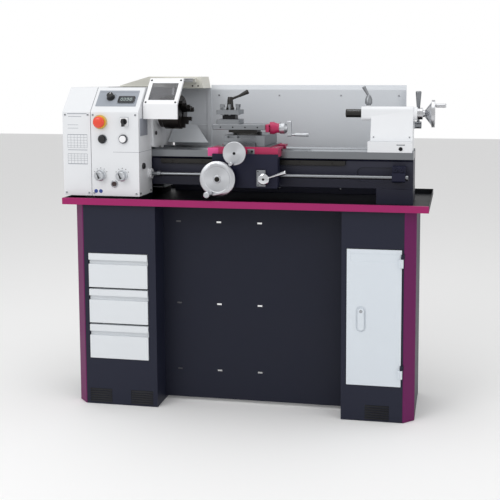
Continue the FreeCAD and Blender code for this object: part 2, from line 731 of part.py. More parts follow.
def build_head_casting():
    """Gearbox casting that sits on the ways and carries the spindle bearings."""
    y = BED_HALF_W
    block = box(CASTING_X0, CASTING_X1, -y, y, BED_TOP_Z + VEE_H + 1, CASTING_TOP_Z)
    block = block.makeFillet(8, edges_along(block, V(1, 0, 0)))
    feet = [
        box(CASTING_X0, CASTING_X1, side * 30 - 14, side * 30 + 14, BED_TOP_Z, BED_TOP_Z + VEE_H + 2)
        for side in (-1, 1)
    ]
    boss = rod_x(CASTING_X1 - 1, CASTING_X1 + 6, 0, AXIS_Z, BEARING_R + 12)
    body = fuse(block, *feet, boss)
    bore = rod_x(CASTING_X0 - 1, CASTING_X1 + 7, 0, AXIS_Z, JOURNAL_R + 5)
    left, right = bearing_places()
    left_seat = rod_x(left - 1, left + BEARING_W, 0, AXIS_Z, BEARING_R + RUNNING)
    right_seat = rod_x(right, CASTING_X1 + 7, 0, AXIS_Z, BEARING_R + RUNNING)
    return cut(body, bore, left_seat, right_seat)


def bearing_places():
    return (CASTING_X0, CASTING_X1 + 6 - BEARING_W)


def build_bearings():
    rings = []
    for x in bearing_places():
        ring = rod_x(x, x + BEARING_W, 0, AXIS_Z, BEARING_R)
        rings.append(cut(ring, rod_x(x - 1, x + BEARING_W + 1, 0, AXIS_Z, JOURNAL_R + RUNNING)))
    return rings


def build_head_cover():
    """Main headstock cover: a shell round the casting, open underneath over the bed."""
    x0, x1 = HEAD_SEAM_X, HEAD_X1
    outside = prism_x(head_profile(0), x0, x1)
    long_edges = edges_along(outside, V(1, 0, 0))
    rounded = [e for e in long_edges if e.CenterOfMass.z > HEAD_BOTTOM_Z + 1]
    outside = outside.makeFillet(6, rounded)
    inside = prism_x(head_profile(COVER_T), x0 + COVER_T, x1 - COVER_T)
    t = COVER_T
    # the bed and its foot pass through the lower part of both end walls
    y = BED_HALF_W + SLIDING
    tunnel = box(x0 - 1, x1 + 1, -y, y, HEAD_BOTTOM_Z - 1, BED_TOP_Z + VEE_H + SLIDING)
    window = box(x1 - t - 1, x1 + 1, -y, y, BED_TOP_Z, CASTING_TOP_Z + 1)
    spindle_hole = rod_x(x0 - 1, x0 + t + 1, 0, AXIS_Z, JOURNAL_R + 2)
    screw_hole = rod_x(x0 - 1, x1 + 20, SCREW_Y, SCREW_Z, SCREW_R + RUNNING)
    motor_hole = rod_x(x0 - 1, x0 + t + 1, MOTOR_Y, MOTOR_Z, MOTOR_SHAFT_R + 2)
    mat = box(x0 + 14, x1 - 12, HEAD_SLANT_Y + 16, HOOD_Y0 - 8, HEAD_TOP_Z - 2, HEAD_TOP_Z + 1)
    boss = rod_x(x1 - t, x1 + 10, SCREW_Y, SCREW_Z, SCREW_R + 12)
    holes = [
        rod_y(HEAD_FRONT_Y - 1, HEAD_FRONT_Y + t + 1, x, z, r)
        for (x, z), r in panel_stems()
    ]
    knob = slant_rod(SPEED_KNOB_X, SPEED_KNOB_UP, STEM_R + RUNNING, -t - 2, 2)
    shell = fuse(cut(outside, inside), boss)
    return cut(shell, tunnel, window, spindle_hole, screw_hole, motor_hole, mat, knob, *holes)


def panel_stems():
    """Place and hole radius of each control stem in the front wall."""
    places = [ESTOP_AT, SWITCH_AT, START_AT, STOP_AT, *FEED_KNOBS_AT]
    return [(place, STEM_R + RUNNING) for place in places]


def build_gear_cover():
    """Hinged end cover over the belt and the change gears."""
    x0, x1 = HEAD_X0, HEAD_SEAM_X - COVER_SEAM_GAP
    outside = prism_x(head_profile(0), x0, x1)
    edges = [e for e in edges_along(outside, V(1, 0, 0)) if e.CenterOfMass.z > HEAD_BOTTOM_Z + 1]
    outside = outside.makeFillet(6, edges)
    inside = prism_x(head_profile(COVER_T), x0 + COVER_T, x1 + 1)
    shell = cut(outside, inside)
    ax, ay = cover_hinge()
    knuckles = [rod_z(z, z + 40, ax, ay, 6) for z in COVER_KNUCKLES]
    necks = [box(ax - 12, ax, HEAD_BACK_Y - 3, ay, z, z + 40) for z in COVER_KNUCKLES]
    bores = [rod_z(z - 1, z + 41, ax, ay, 3 + RUNNING) for z in COVER_KNUCKLES]
    return cut(fuse(shell, *knuckles, *necks), *bores)


def cover_hinge():
    return HEAD_SEAM_X - COVER_SEAM_GAP / 2, HEAD_BACK_Y + 7


def cover_hinge_pins():
    """Fixed halves of the gear cover's hinge, on the back of the main cover."""
    ax, ay = cover_hinge()
    pieces = []
    for z in COVER_KNUCKLES:
        top = z + 40 + SLIDING
        pieces.append(rod_z(top, top + 20, ax, ay, 6))
        pieces.append(box(ax, ax + 14, HEAD_BACK_Y - 1, ay, top, top + 20))
        pieces.append(rod_z(z + 1, top + 2, ax, ay, 3))
    return pieces


def build_control_fittings():
    """Fixed fittings of the panel: plate and bezel, rings, switch plate, and the end wall's plate."""
    y1 = HEAD_FRONT_Y
    plate = slant_box(PLATE_X0, PLATE_X1, PLATE_FROM, PLATE_TO, 0, 1.2)
    plate = cut(plate, slant_rod(SPEED_KNOB_X, SPEED_KNOB_UP, STEM_R + 1, -1, 3))
    bezel = slant_box(DISPLAY_X0, DISPLAY_X1, DISPLAY_FROM, DISPLAY_TO, 1.2, 5)
    bezel = cut(
        bezel,
        slant_box(DISPLAY_X0 + 6, DISPLAY_X1 - 6, DISPLAY_FROM + 6, DISPLAY_TO - 6, 3, 6),
    )
    solids = [plate, bezel]
    x, z = ESTOP_AT
    collar = rod_y(y1 - 6, y1, x, z, ESTOP_R + 5)
    solids.append(cut(collar, rod_y(y1 - 7, y1 + 1, x, z, STEM_R + 1)))
    for x, z in (START_AT, STOP_AT):
        ring = rod_y(y1 - 5, y1, x, z, BUTTON_R + 4)
        solids.append(cut(ring, rod_y(y1 - 6, y1 + 1, x, z, BUTTON_R + SLIDING)))
    x, z = SWITCH_AT
    square = box(x - 15, x + 15, y1 - 2.5, y1, z - 16, z + 16)
    solids.append(cut(square, rod_y(y1 - 4, y1 + 1, x, z, STEM_R + 1)))
    solids.append(box(HEAD_X1, HEAD_X1 + 1.5, -197, -121, 981, 1043))
    return solids


def build_estop():
    x, z = ESTOP_AT
    face = HEAD_FRONT_Y - 6 - PRESS_TRAVEL - SLIDING
    profile = [
        (face, 0), (face, ESTOP_R - 2), (face - 3, ESTOP_R), (face - 9, ESTOP_R),
        (face - 13, ESTOP_R - 5), (face - 14.5, ESTOP_R - 13), (face - 14.5, 0),
    ]
    return fuse(turned_y(profile, x, z), rod_y(face - 1, HEAD_FRONT_Y + 10, x, z, STEM_R))


def build_button(place):
    x, z = place
    face = HEAD_FRONT_Y - 5
    cap = rod_y(face - PRESS_TRAVEL - 3, face + SLIDING, x, z, BUTTON_R)
    cap = cap.makeFillet(1.5, [e for e in cap.Edges if e.CenterOfMass.y < face - PRESS_TRAVEL - 2])
    return fuse(cap, rod_y(face, HEAD_FRONT_Y + 10, x, z, STEM_R))


def build_switch():
    """Rotary direction switch with a flat lever grip."""
    x, z = SWITCH_AT
    y = HEAD_FRONT_Y - 2.5 - SLIDING
    base = rod_y(y - 6, y, x, z, 11)
    grip = box(x - 3.5, x + 3.5, y - 20, y - 5, z - 17, z + 11)
    grip = grip.makeFillet(2.5, edges_along(grip, V(0, 1, 0)))
    return fuse(base, grip, rod_y(y - 1, HEAD_FRONT_Y + 10, x, z, STEM_R))


def build_feed_knob(place):
    """Selector knob: skirt, drum and a raised pointer."""
    x, z = place
    y = HEAD_FRONT_Y - SLIDING
    profile = [
        (y, 0), (y, KNOB_R), (y - 5, KNOB_R), (y - 7, KNOB_R - 2.5), (y - 24, KNOB_R - 3.5),
        (y - 26, KNOB_R - 5.5), (y - 26, 0),
    ]
    knob = turned_y(profile, x, z)
    pointer = prism_y([(x - 4, z - 11), (x + 4, z - 11), (x + 1, z + 13), (x - 1, z + 13)], y - 29, y - 25)
    pointer.rotate(V(x, y, z), V(0, 1, 0), -25)
    return fuse(knob, pointer, rod_y(y - 1, HEAD_FRONT_Y + 10, x, z, STEM_R))


def build_speed_knob():
    skirt = slant_rod(SPEED_KNOB_X, SPEED_KNOB_UP, SPEED_KNOB_R, 1.2 + SLIDING, 5)
    drum = slant_rod(SPEED_KNOB_X, SPEED_KNOB_UP, SPEED_KNOB_R - 3, 4, 18)
    stem = slant_rod(SPEED_KNOB_X, SPEED_KNOB_UP, STEM_R, -12, 2)
    return fuse(skirt, drum, stem)


# ---------------------------------------------------------------- spindle and chuck
def build_spindle():
    """Hollow spindle: two journals, a shoulder collar and the nose flange."""
    left, right = bearing_places()
    profile = [
        (SPINDLE_X0, SPINDLE_BORE_R), (SPINDLE_X0, JOURNAL_R - 2), (left - 10, JOURNAL_R - 2),
        (left - 10, JOURNAL_R), (left + BEARING_W, JOURNAL_R), (left + BEARING_W, JOURNAL_R + 3),
        (right, JOURNAL_R + 3), (right, JOURNAL_R), (right + BEARING_W + 1, JOURNAL_R),
        (right + BEARING_W + 1, 34), (NOSE_X, 34), (NOSE_X, SPINDLE_BORE_R),
    ]
    return turned_x(profile, 0, AXIS_Z)


def build_chuck():
    """Three-jaw chuck on its back plate, with the radial jaw slots."""
    bevel = 3
    profile = [
        (NOSE_X, SPINDLE_BORE_R), (NOSE_X, CHUCK_R - 6), (CHUCK_X0, CHUCK_R - 6),
        (CHUCK_X0, CHUCK_R - bevel), (CHUCK_X0 + bevel, CHUCK_R), (CHUCK_X1 - bevel, CHUCK_R),
        (CHUCK_X1, CHUCK_R - bevel), (CHUCK_X1, SPINDLE_BORE_R),
    ]
    chuck = turned_x(profile, 0, AXIS_Z)
    slots = []
    w = JAW_W / 2 + SLIDING
    for n in range(3):
        slot = box(CHUCK_X1 - JAW_SLOT_DEPTH, CHUCK_X1 + 1, -w, w, AXIS_Z, AXIS_Z + CHUCK_R + 1)
        slot.rotate(V(0, 0, AXIS_Z), V(1, 0, 0), JAW_FIRST_DEG + 120 * n)
        slots.append(slot)
    return cut(chuck, *slots)


def build_jaw(n):
    """A stepped jaw; its root runs in the chuck's radial slot."""
    w = JAW_W / 2
    r0 = JAW_INNER_R
    x1 = CHUCK_X1
    root = CHUCK_X1 - JAW_SLOT_DEPTH + SLIDING
    steps = [
        (root, r0), (x1 + JAW_REACH, r0), (x1 + JAW_REACH, r0 + JAW_STEP),
        (x1 + JAW_REACH * 2 / 3, r0 + JAW_STEP), (x1 + JAW_REACH * 2 / 3, r0 + 2 * JAW_STEP),
        (x1 + JAW_REACH / 3, r0 + 2 * JAW_STEP), (x1 + JAW_REACH / 3, r0 + 3 * JAW_STEP),
        (root, r0 + 3 * JAW_STEP),
    ]
    jaw = prism([V(x, -w, AXIS_Z + r) for x, r in steps], V(0, 2 * w, 0))
    jaw.rotate(V(0, 0, AXIS_Z), V(1, 0, 0), JAW_FIRST_DEG + 120 * n)
    return jaw


# ---------------------------------------------------------------- drive
def gear_face(teeth, phase, y, z, x0, x1, bore):
    """A spur gear about an X axis with involute flanks; phase turns its first tooth."""
    pitch_r = GEAR_MODULE * teeth / 2
    base_r = pitch_r * math.cos(math.radians(20))
    tip_r = pitch_r + 0.95 * GEAR_MODULE
    root_r = pitch_r - 1.25 * GEAR_MODULE
    half = math.pi / (2 * teeth) - TOOTH_THINNING / 2 / pitch_r
    involute_at_pitch = math.tan(math.radians(20)) - math.radians(20)
    flank = []
    for k in range(5):
        r = max(base_r, root_r + 0.3) + (tip_r - max(base_r, root_r + 0.3)) * k / 4
        roll = math.acos(min(1.0, base_r / r))
        flank.append((r, half + involute_at_pitch - (math.tan(roll) - roll)))
    points = []
    for n in range(teeth):
        middle = phase + 2 * math.pi * n / teeth
        outline = [(root_r, -flank[0][1])] + [(r, -a) for r, a in flank]
        outline += [(r, a) for r, a in reversed(flank)] + [(root_r, flank[0][1])]
        for r, a in outline:
            points.append(V(x0, y + r * math.cos(middle + a), z + r * math.sin(middle + a)))
    blank = prism(points, V(x1 - x0, 0, 0))
    return cut(blank, rod_x(x0 - 1, x1 + 1, y, z, bore))


def idler_centre():
    """Centre of the idler, in mesh with the spindle gear and the leadscrew gear."""
    first = GEAR_MODULE * (SPINDLE_TEETH + IDLER_TEETH) / 2
    second = GEAR_MODULE * (IDLER_TEETH + SCREW_TEETH) / 2
    dy, dz = SCREW_Y, SCREW_Z - AXIS_Z
    span = math.hypot(dy, dz)
    along = (first ** 2 - second ** 2 + span ** 2) / (2 * span)
    aside = math.sqrt(first ** 2 - along ** 2)
    y = along * dy / span + aside * dz / span
    z = AXIS_Z + along * dz / span - aside * dy / span
    return y, z


def mesh_phase(teeth_a, phase_a, at_a, teeth_b, at_b):
    """Phase of gear B so that its tooth gap meets gear A's tooth on their line of centres."""
    towards = math.atan2(at_b[1] - at_a[1], at_b[0] - at_a[0])
    share_a = (towards - phase_a) * teeth_a / (2 * math.pi)
    share_b = 0.5 - share_a
    return towards + math.pi - share_b * 2 * math.pi / teeth_b


def build_gears():
    """The spindle gear, the idler and the leadscrew gear, in mesh."""
    x0, x1 = GEAR_X, GEAR_X + GEAR_FACE
    spindle_at = (0.0, AXIS_Z)
    idler_at = idler_centre()
    screw_at = (SCREW_Y, SCREW_Z)
    idler_phase = mesh_phase(SPINDLE_TEETH, 0.0, spindle_at, IDLER_TEETH, idler_at)
    screw_phase = mesh_phase(IDLER_TEETH, idler_phase, idler_at, SCREW_TEETH, screw_at)
    spindle = gear_face(SPINDLE_TEETH, 0.0, *spindle_at, x0, x1, JOURNAL_R - 2)
    idler = gear_face(IDLER_TEETH, idler_phase, *idler_at, x0, x1, STUD_R + RUNNING)
    holes = []
    for n in range(6):
        a = math.radians(60 * n)
        holes.append(rod_x(
            x0 - 1, x1 + 1, idler_at[0] + 50 * math.cos(a), idler_at[1] + 50 * math.sin(a), 17
        ))
    idler = cut(idler, *holes)
    screw = gear_face(SCREW_TEETH, screw_phase, *screw_at, x0, x1, SCREW_R)
    return spindle, idler, screw


def build_banjo():
    """Swing plate that carries the idler's stud, clamped round the leadscrew bearing."""
    x0, x1 = HEAD_SEAM_X - 5, HEAD_SEAM_X
    y, z = idler_centre()
    link_y, link_z = SCREW_Y - y, SCREW_Z - z
    length = math.hypot(link_y, link_z)
    ny, nz = -link_z / length * 19, link_y / length * 19
    plate = prism_x([
        (y + ny, z + nz), (SCREW_Y + ny, SCREW_Z + nz),
        (SCREW_Y - ny, SCREW_Z - nz), (y - ny, z - nz),
    ], x0, x1)
    ends = [rod_x(x0, x1, y, z, 19), rod_x(x0, x1, SCREW_Y, SCREW_Z, 24)]
    stud = rod_x(GEAR_X - 6, x1, y, z, STUD_R)
    washer = rod_x(GEAR_X - 6, GEAR_X - SLIDING, y, z, STUD_R + 5)
    shoulder = rod_x(GEAR_X + GEAR_FACE + SLIDING, x1, y, z, STUD_R + 5)
    plate = fuse(plate, *ends, stud, washer, shoulder)
    return cut(plate, rod_x(x0 - 1, x1 + 1, SCREW_Y, SCREW_Z, SCREW_R + RUNNING))


def pulley(x0, x1, y, z, r, bore):
    flange = 2.5
    profile = [
        (x0 - 3, bore), (x0 - 3, r + flange), (x0, r + flange), (x0, r), (x1, r),
        (x1, r + flange), (x1 + 3, r + flange), (x1 + 3, bore),
    ]
    return turned_x(profile, y, z)


def build_pulleys():
    x0, x1 = BELT_X - 1, BELT_X + BELT_W + 1
    big = pulley(x0, x1, 0, AXIS_Z, SPINDLE_PULLEY_R, JOURNAL_R - 2)
    small = pulley(x0, x1, MOTOR_Y, MOTOR_Z, MOTOR_PULLEY_R, MOTOR_SHAFT_R)
    shaft = rod_x(x0 - 6, CASTING_X0 + 30 - SLIDING, MOTOR_Y, MOTOR_Z, MOTOR_SHAFT_R)
    return big, fuse(small, shaft)


def belt_outline(grow):
    """Straight runs and arcs round both pulleys, at a distance grow from their rims."""
    r1, r2 = SPINDLE_PULLEY_R + grow, MOTOR_PULLEY_R + grow
    dy, dz = MOTOR_Y, MOTOR_Z - AXIS_Z
    span = math.hypot(dy, dz)
    heading = math.atan2(dz, dy)
    lean = math.acos((r1 - r2) / span)

    def at(cy, cz, r, a):
        return V(BELT_X, cy + r * math.cos(a), cz + r * math.sin(a))

    a, b = heading + lean, heading - lean
    run_1 = Part.makeLine(at(0, AXIS_Z, r1, a), at(MOTOR_Y, MOTOR_Z, r2, a))
    wrap_2 = Part.Arc(
        at(MOTOR_Y, MOTOR_Z, r2, a), at(MOTOR_Y, MOTOR_Z, r2, heading), at(MOTOR_Y, MOTOR_Z, r2, b)
    ).toShape()
    run_2 = Part.makeLine(at(MOTOR_Y, MOTOR_Z, r2, b), at(0, AXIS_Z, r1, b))
    wrap_1 = Part.Arc(
        at(0, AXIS_Z, r1, b), at(0, AXIS_Z, r1, heading + math.pi), at(0, AXIS_Z, r1, a)
    ).toShape()
    return Part.Face(Part.Wire([run_1, wrap_2, run_2, wrap_1]))


def build_belt():
    outer = belt_outline(SLIDING + BELT_T).extrude(V(BELT_W, 0, 0))
    return cut(outer, belt_outline(SLIDING).extrude(V(BELT_W, 0, 0)))


def build_motor():
    """Motor behind the bed, inside the headstock cover, on two feet from the bed."""
    x0 = CASTING_X0 + 30
    body = rod_x(x0, x0 + MOTOR_LENGTH - 40, MOTOR_Y, MOTOR_Z, MOTOR_R)
    cap = rod_x(x0 + MOTOR_LENGTH - 40, x0 + MOTOR_LENGTH - 26, MOTOR_Y, MOTOR_Z, MOTOR_R - 6)
    feet = [
        box(x, x + 14, BED_WALL_Y, MOTOR_Y, MOTOR_Z - 12, MOTOR_Z + 12)
        for x in (x0 + 10, x0 + MOTOR_LENGTH - 66)
    ]
    return fuse(body, cap, *feet)


# ---------------------------------------------------------------- guards
def sheet_x(yz, thickness, x0, x1):
    """A folded sheet: an open line in the YZ plane, thickened to its right-hand side."""
    inner = []
    for n, (y, z) in enumerate(yz):
        ways = []
        if n > 0:
            ways.append((yz[n][0] - yz[n - 1][0], yz[n][1] - yz[n - 1][1]))
        if n < len(yz) - 1:
            ways.append((yz[n + 1][0] - yz[n][0], yz[n + 1][1] - yz[n][1]))
        normals = [(dz / math.hypot(dy, dz), -dy / math.hypot(dy, dz)) for dy, dz in ways]
        ny = sum(a for a, _ in normals) / len(normals)
        nz = sum(b for _, b in normals) / len(normals)
        scale = thickness / (ny * ny + nz * nz)
        inner.append((y + ny * scale, z + nz * scale))
    return prism_x(list(yz) + inner[::-1], x0, x1)


def guard_line():
    return [
        (GUARD_FRONT_Y, GUARD_LOW_Z), (GUARD_FRONT_Y, GUARD_FOLD_Z),
        (GUARD_TOP_Y, GUARD_TOP_Z), (HINGE_Y, GUARD_TOP_Z),
    ]


def guard_slope(x0, x1, from_low, to_top, out0, out1):
    """A box on the guard's sloping panel; distances run up the slope and out of it."""
    dy, dz = GUARD_TOP_Y - GUARD_FRONT_Y, GUARD_TOP_Z - GUARD_FOLD_Z
    length = math.hypot(dy, dz)
    uy, uz = dy / length, dz / length
    corners = []
    for up, out in ((from_low, out0), (length - to_top, out0), (length - to_top, out1), (from_low, out1)):
        corners.append(V(
            x0, GUARD_FRONT_Y + uy * up - uz * out, GUARD_FOLD_Z + uz * up + uy * out
        ))
    return prism(corners, V(x1 - x0, 0, 0))


def build_guard():
    """Swing-up chuck guard: a folded sheet with a window and stiffening side flanges."""
    sheet = sheet_x(guard_line(), GUARD_T, GUARD_X0, GUARD_X1)
    left = sheet_x(guard_line()[:3], GUARD_SIDE, GUARD_X0, GUARD_X0 + GUARD_T)
    right = sheet_x(guard_line()[:3], GUARD_SIDE, GUARD_X1 - GUARD_T, GUARD_X1)
    window = guard_slope(GUARD_X0 + 14, GUARD_X1 - 14, 20, 24, -12, 2)
    barrel = rod_x(GUARD_X0 + 9, GUARD_X1 - 9, HINGE_Y, HINGE_Z, 7)
    hem = box(GUARD_X0 + 9, GUARD_X1 - 9, HINGE_Y - 4, HINGE_Y, HINGE_Z, GUARD_TOP_Z)
    pin = rod_x(GUARD_X0 + 1, GUARD_X1 - 1, HINGE_Y, HINGE_Z, HINGE_PIN_R)
    corners = [
        box(x0, x1, HINGE_Y - 12, HINGE_Y + 2, HINGE_Z, GUARD_TOP_Z + 1)
        for x0, x1 in ((GUARD_X0 - 1, GUARD_X0 + 9), (GUARD_X1 - 9, GUARD_X1 + 1))
    ]
    return fuse(cut(fuse(sheet, left, right), window, *corners), barrel, hem, pin)


def build_window():
    return guard_slope(GUARD_X0 + 6, GUARD_X1 - 6, 12, 14, -GUARD_T - 2, -GUARD_T)


def build_hood():
    """Raised rear hood that carries the chuck guard's hinge."""
    t = SHEET
    outline = [
        (HOOD_X0, HEAD_TOP_Z), (HOOD_X0, HEAD_TOP_Z + 5), (HOOD_SLOPE_X, HOOD_TOP_Z),
        (HOOD_X1 - 8, HOOD_TOP_Z), (HOOD_X1, HEAD_TOP_Z - 5), (HEAD_X1, HEAD_TOP_Z - 5),
        (HEAD_X1, HEAD_TOP_Z),
    ]
    inner = [
        (HOOD_X0 + t, HEAD_TOP_Z - 6), (HOOD_X0 + t, HEAD_TOP_Z + 4), (HOOD_SLOPE_X + 1, HOOD_TOP_Z - t),
        (HOOD_X1 - 8 - t, HOOD_TOP_Z - t), (HOOD_X1 - t, HEAD_TOP_Z - 6),
    ]
    hood = cut(
        prism_y(outline, HOOD_Y0, HOOD_Y1),
        prism_y(inner, HOOD_Y0 + t, HOOD_Y1 - t),
    )
    lugs = []
    for x in (GUARD_X0, GUARD_X1 - 8):
        lug = box(x, x + 8, HINGE_Y - 8, HOOD_Y0, HINGE_Z - 8, HINGE_Z + 8)
        lugs.append(cut(lug, rod_x(x - 1, x + 9, HINGE_Y, HINGE_Z, HINGE_PIN_R + RUNNING)))
    return fuse(hood, *lugs)


def build_splash():
    """Rear splash guard with a folded rim, a doubled left bay and a chip deflector."""
    y, t = SPLASH_Y, SPLASH_T
    rim = SPLASH_TOP_Z - SPLASH_RIM
    line = [(y + 20, TRAY_FLOOR_Z + t), (y, TRAY_FLOOR_Z + t), (y, rim), (y + 7, SPLASH_TOP_Z)]
    right = sheet_x(line, t, SPLASH_SEAM_X, SPLASH_X1)
    low = [(y + 20, TRAY_FLOOR_Z + t), (y, TRAY_FLOOR_Z + t), (y, HEAD_TOP_Z - 5)]
    left = sheet_x(low, t, SPLASH_X0, SPLASH_SEAM_X)
    side = box(SPLASH_X1 - t, SPLASH_X1, y - 22, y, TRAY_FLOOR_Z, rim)
    seam = box(SPLASH_SEAM_X - 14, SPLASH_SEAM_X + 2, y - 4, y, BED_TOP_Z - 10, HEAD_TOP_Z - 12)
    return fuse(right, left, side, seam, deflector_sheet(BED_TOP_Z + 78, BED_TOP_Z + 14))


def deflector_sheet(top, low):
    """Inclined sheet that throws chips forward, narrower at its top edge."""
    y, t = SPLASH_Y, SPLASH_T
    slope = sheet_x([(y + 1, top), (y - 88, low)], t, SPLASH_X0, SPLASH_X0 + 165)
    corner = prism_y(
        [(SPLASH_X0 + 90, top + 1), (SPLASH_X0 + 166, top + 1), (SPLASH_X0 + 166, low - 3)],
        y - 95, y - t,
    )
    return cut(slope, corner)


# ---------------------------------------------------------------- carriage
def build_saddle():
    """Saddle: an H-shaped casting over the ways with a skirt that carries the apron."""
    x0, x1 = SADDLE_X0, SADDLE_X1
    under = BED_TOP_Z + VEE_H + SLIDING
    bridge = box(x0 + 30, x1 - 30, SADDLE_FRONT_Y, SADDLE_BACK_Y, under, SADDLE_TOP_Z)
    front = box(x0, x1, SADDLE_FRONT_Y, -36, under, SADDLE_TOP_Z - 4)
    back = box(x0, x1 - 8, 32, SADDLE_BACK_Y, under, SADDLE_TOP_Z - 4)
    skirt = box(APRON_X0, x1, SADDLE_FRONT_Y, -BED_HALF_W - SLIDING, SADDLE_SKIRT_Z, under + 1)
    keeper = box(x0 + 30, x1 - 30, BED_HALF_W + SLIDING, SADDLE_BACK_Y, BED_TOP_Z - 40, under + 1)
    seats = [
        box(x0 + 4, x1 - 4, ya, yb, BED_TOP_Z + SLIDING / 2, under + 1)
        for ya, yb in ((-48, -40), (36, 44))
    ]
    dovetail = box(CROSS_X0 + 32, CROSS_X1 - 32, SADDLE_FRONT_Y + 8, SADDLE_BACK_Y, SADDLE_TOP_Z - 1,
                   SADDLE_TOP_Z + 12)
    saddle = fuse(bridge, front, back, skirt, keeper, dovetail, *seats)
    x, z = CROSS_WHEEL_AT
    bearing = rod_y(SADDLE_FRONT_Y - 20, SADDLE_FRONT_Y + 1, x, z, CROSS_BEARING_R)
    bore = rod_y(SADDLE_FRONT_Y - 21, SADDLE_FRONT_Y + 30, x, z, CROSS_SHAFT_R + RUNNING)
    return cut(fuse(saddle, bearing), bore)


def build_apron():
    """Apron casting with the half-nut block round the leadscrew and the lever plate."""
    body = box(APRON_X0, APRON_X1, APRON_FRONT_Y, APRON_BACK_Y, APRON_BOTTOM_Z, SADDLE_SKIRT_Z)
    body = body.makeFillet(6, [
        e for e in edges_along(body, V(0, 1, 0)) if e.CenterOfMass.z < APRON_BOTTOM_Z + 1
    ])
    shade = box(APRON_X0, APRON_X1, APRON_FRONT_Y, SADDLE_FRONT_Y - SLIDING, SADDLE_SKIRT_Z - 1, 918)
    nut = box(40, 84, APRON_BACK_Y - 1, SCREW_Y + 14, SCREW_Z - 14, SCREW_Z + 14)
    x, z = WHEEL_AT
    boss = rod_y(APRON_FRONT_Y - 8, APRON_FRONT_Y + 1, x, z, 26)
    plate = box(44, 77, APRON_FRONT_Y - 6, APRON_FRONT_Y + 1, 804, 864)
    body = fuse(body, shade, nut, boss, plate)
    hx, hz = HALF_NUT_AT
    return cut(
        body,
        rod_x(30, 90, SCREW_Y, SCREW_Z, SCREW_R + SLIDING),
        rod_y(APRON_FRONT_Y - 9, APRON_BACK_Y + 1, x, z, WHEEL_SHAFT_R + RUNNING),
        rod_y(APRON_FRONT_Y - 7, APRON_FRONT_Y + 20, hx, hz, STEM_R + RUNNING),
        rod_y(APRON_FRONT_Y - 1, SADDLE_FRONT_Y, *CROSS_WHEEL_AT, CROSS_BEARING_R + SLIDING),
    )


def handle(x, z, y_root, length, r):
    """A turned handle that points towards the operator."""
    profile = [
        (y_root, 0), (y_root, r * 0.6), (y_root - 6, r * 0.6), (y_root - 8, r * 0.85),
        (y_root - length * 0.7, r), (y_root - length + 3, r), (y_root - length, r * 0.75),
        (y_root - length, 0),
    ]
    return turned_y(profile, x, z)


def build_carriage_wheel():
    x, z = WHEEL_AT
    y0 = WHEEL_FACE_Y
    y1 = y0 + WHEEL_T
    shaft_end = APRON_BACK_Y - 4
    profile = [
        (y0 - 3, 0), (y0 - 3, 12), (y0, 14), (y0, 45), (y0 - 1.5, 47), (y0 - 1.5, 60), (y0 + 1, WHEEL_R),
        (y1 - 1, WHEEL_R), (y1, 60), (y1, 28), (APRON_FRONT_Y - 8 - SLIDING, 24),
        (APRON_FRONT_Y - 8 - SLIDING, WHEEL_SHAFT_R), (shaft_end, WHEEL_SHAFT_R), (shaft_end, 0),
    ]
    a = math.radians(-116)
    hx, hz = x + WHEEL_HANDLE_R * math.cos(a), z + WHEEL_HANDLE_R * math.sin(a)
    return fuse(turned_y(profile, x, z), handle(hx, hz, y0, 62, 11))


def build_cross_wheel():
    x, z = CROSS_WHEEL_AT
    y0 = CROSS_WHEEL_FACE_Y
    bearing = SADDLE_FRONT_Y - 20
    profile = [
        (y0, 0), (y0, CROSS_WHEEL_R - 1.5), (y0 + 1.5, CROSS_WHEEL_R), (y0 + 9, CROSS_WHEEL_R),
        (y0 + 10, CROSS_WHEEL_R - 1), (y0 + 10, 18), (y0 + 34, 17), (y0 + 36, 22), (bearing - SLIDING, 22),
        (bearing - SLIDING, CROSS_SHAFT_R), (SADDLE_FRONT_Y + 28, CROSS_SHAFT_R), (SADDLE_FRONT_Y + 28, 0),
    ]
    wheel = turned_y(profile, x, z)
    return fuse(wheel, handle(x - 3, z - 33, y0, 44, 7.5))


def build_half_nut_lever():
    x, z = HALF_NUT_AT
    y = APRON_FRONT_Y - 6 - SLIDING
    hub = turned_y([(y, 0), (y, HALF_NUT_HUB_R), (y - 16, HALF_NUT_HUB_R), (y - 18, 16), (y - 18, 0)], x, z)
    stem = rod_y(y - 1, APRON_FRONT_Y + 18, x, z, STEM_R)
    arm = bar((x + 12, y - 9, z + 3), (x + 52, y - 22, z + 17), 4, 5)
    grip = knob_bar((x + 52, y - 22, z + 17), (x + 84, y - 32, z + 28), 5.5, 7.5)
    return fuse(hub, stem, arm, grip)


def build_cross_slide():
    """Cross slide over the saddle's dovetail, with two slots and a shadow groove in its front end."""
    z0, z1 = SADDLE_TOP_Z + SLIDING, CROSS_TOP_Z
    block = box(CROSS_X0, CROSS_X1, CROSS_Y0, CROSS_Y1, z0, z1)
    gap = SLIDING
    groove = box(
        CROSS_X0 + 32 - gap, CROSS_X1 - 32 + gap, CROSS_Y0 - 1, CROSS_Y1 + 1, z0 - 1,
        SADDLE_TOP_Z + 12 + gap,
    )
    slots = [
        box(x0, x1, CROSS_Y0 - 1, CROSS_Y0 + 12, z1 - 10, z1 - 1.5)
        for x0, x1 in ((CROSS_X0 + 16, CROSS_X0 + 40), (CROSS_X0 + 52, CROSS_X1 - 32))
    ]
    notch = box(CROSS_X0 - 1, CROSS_X1 - 32, CROSS_Y0 - 1, CROSS_Y0 + 4, z1 - 25, z1 - 22)
    return cut(block, groove, notch, *slots)


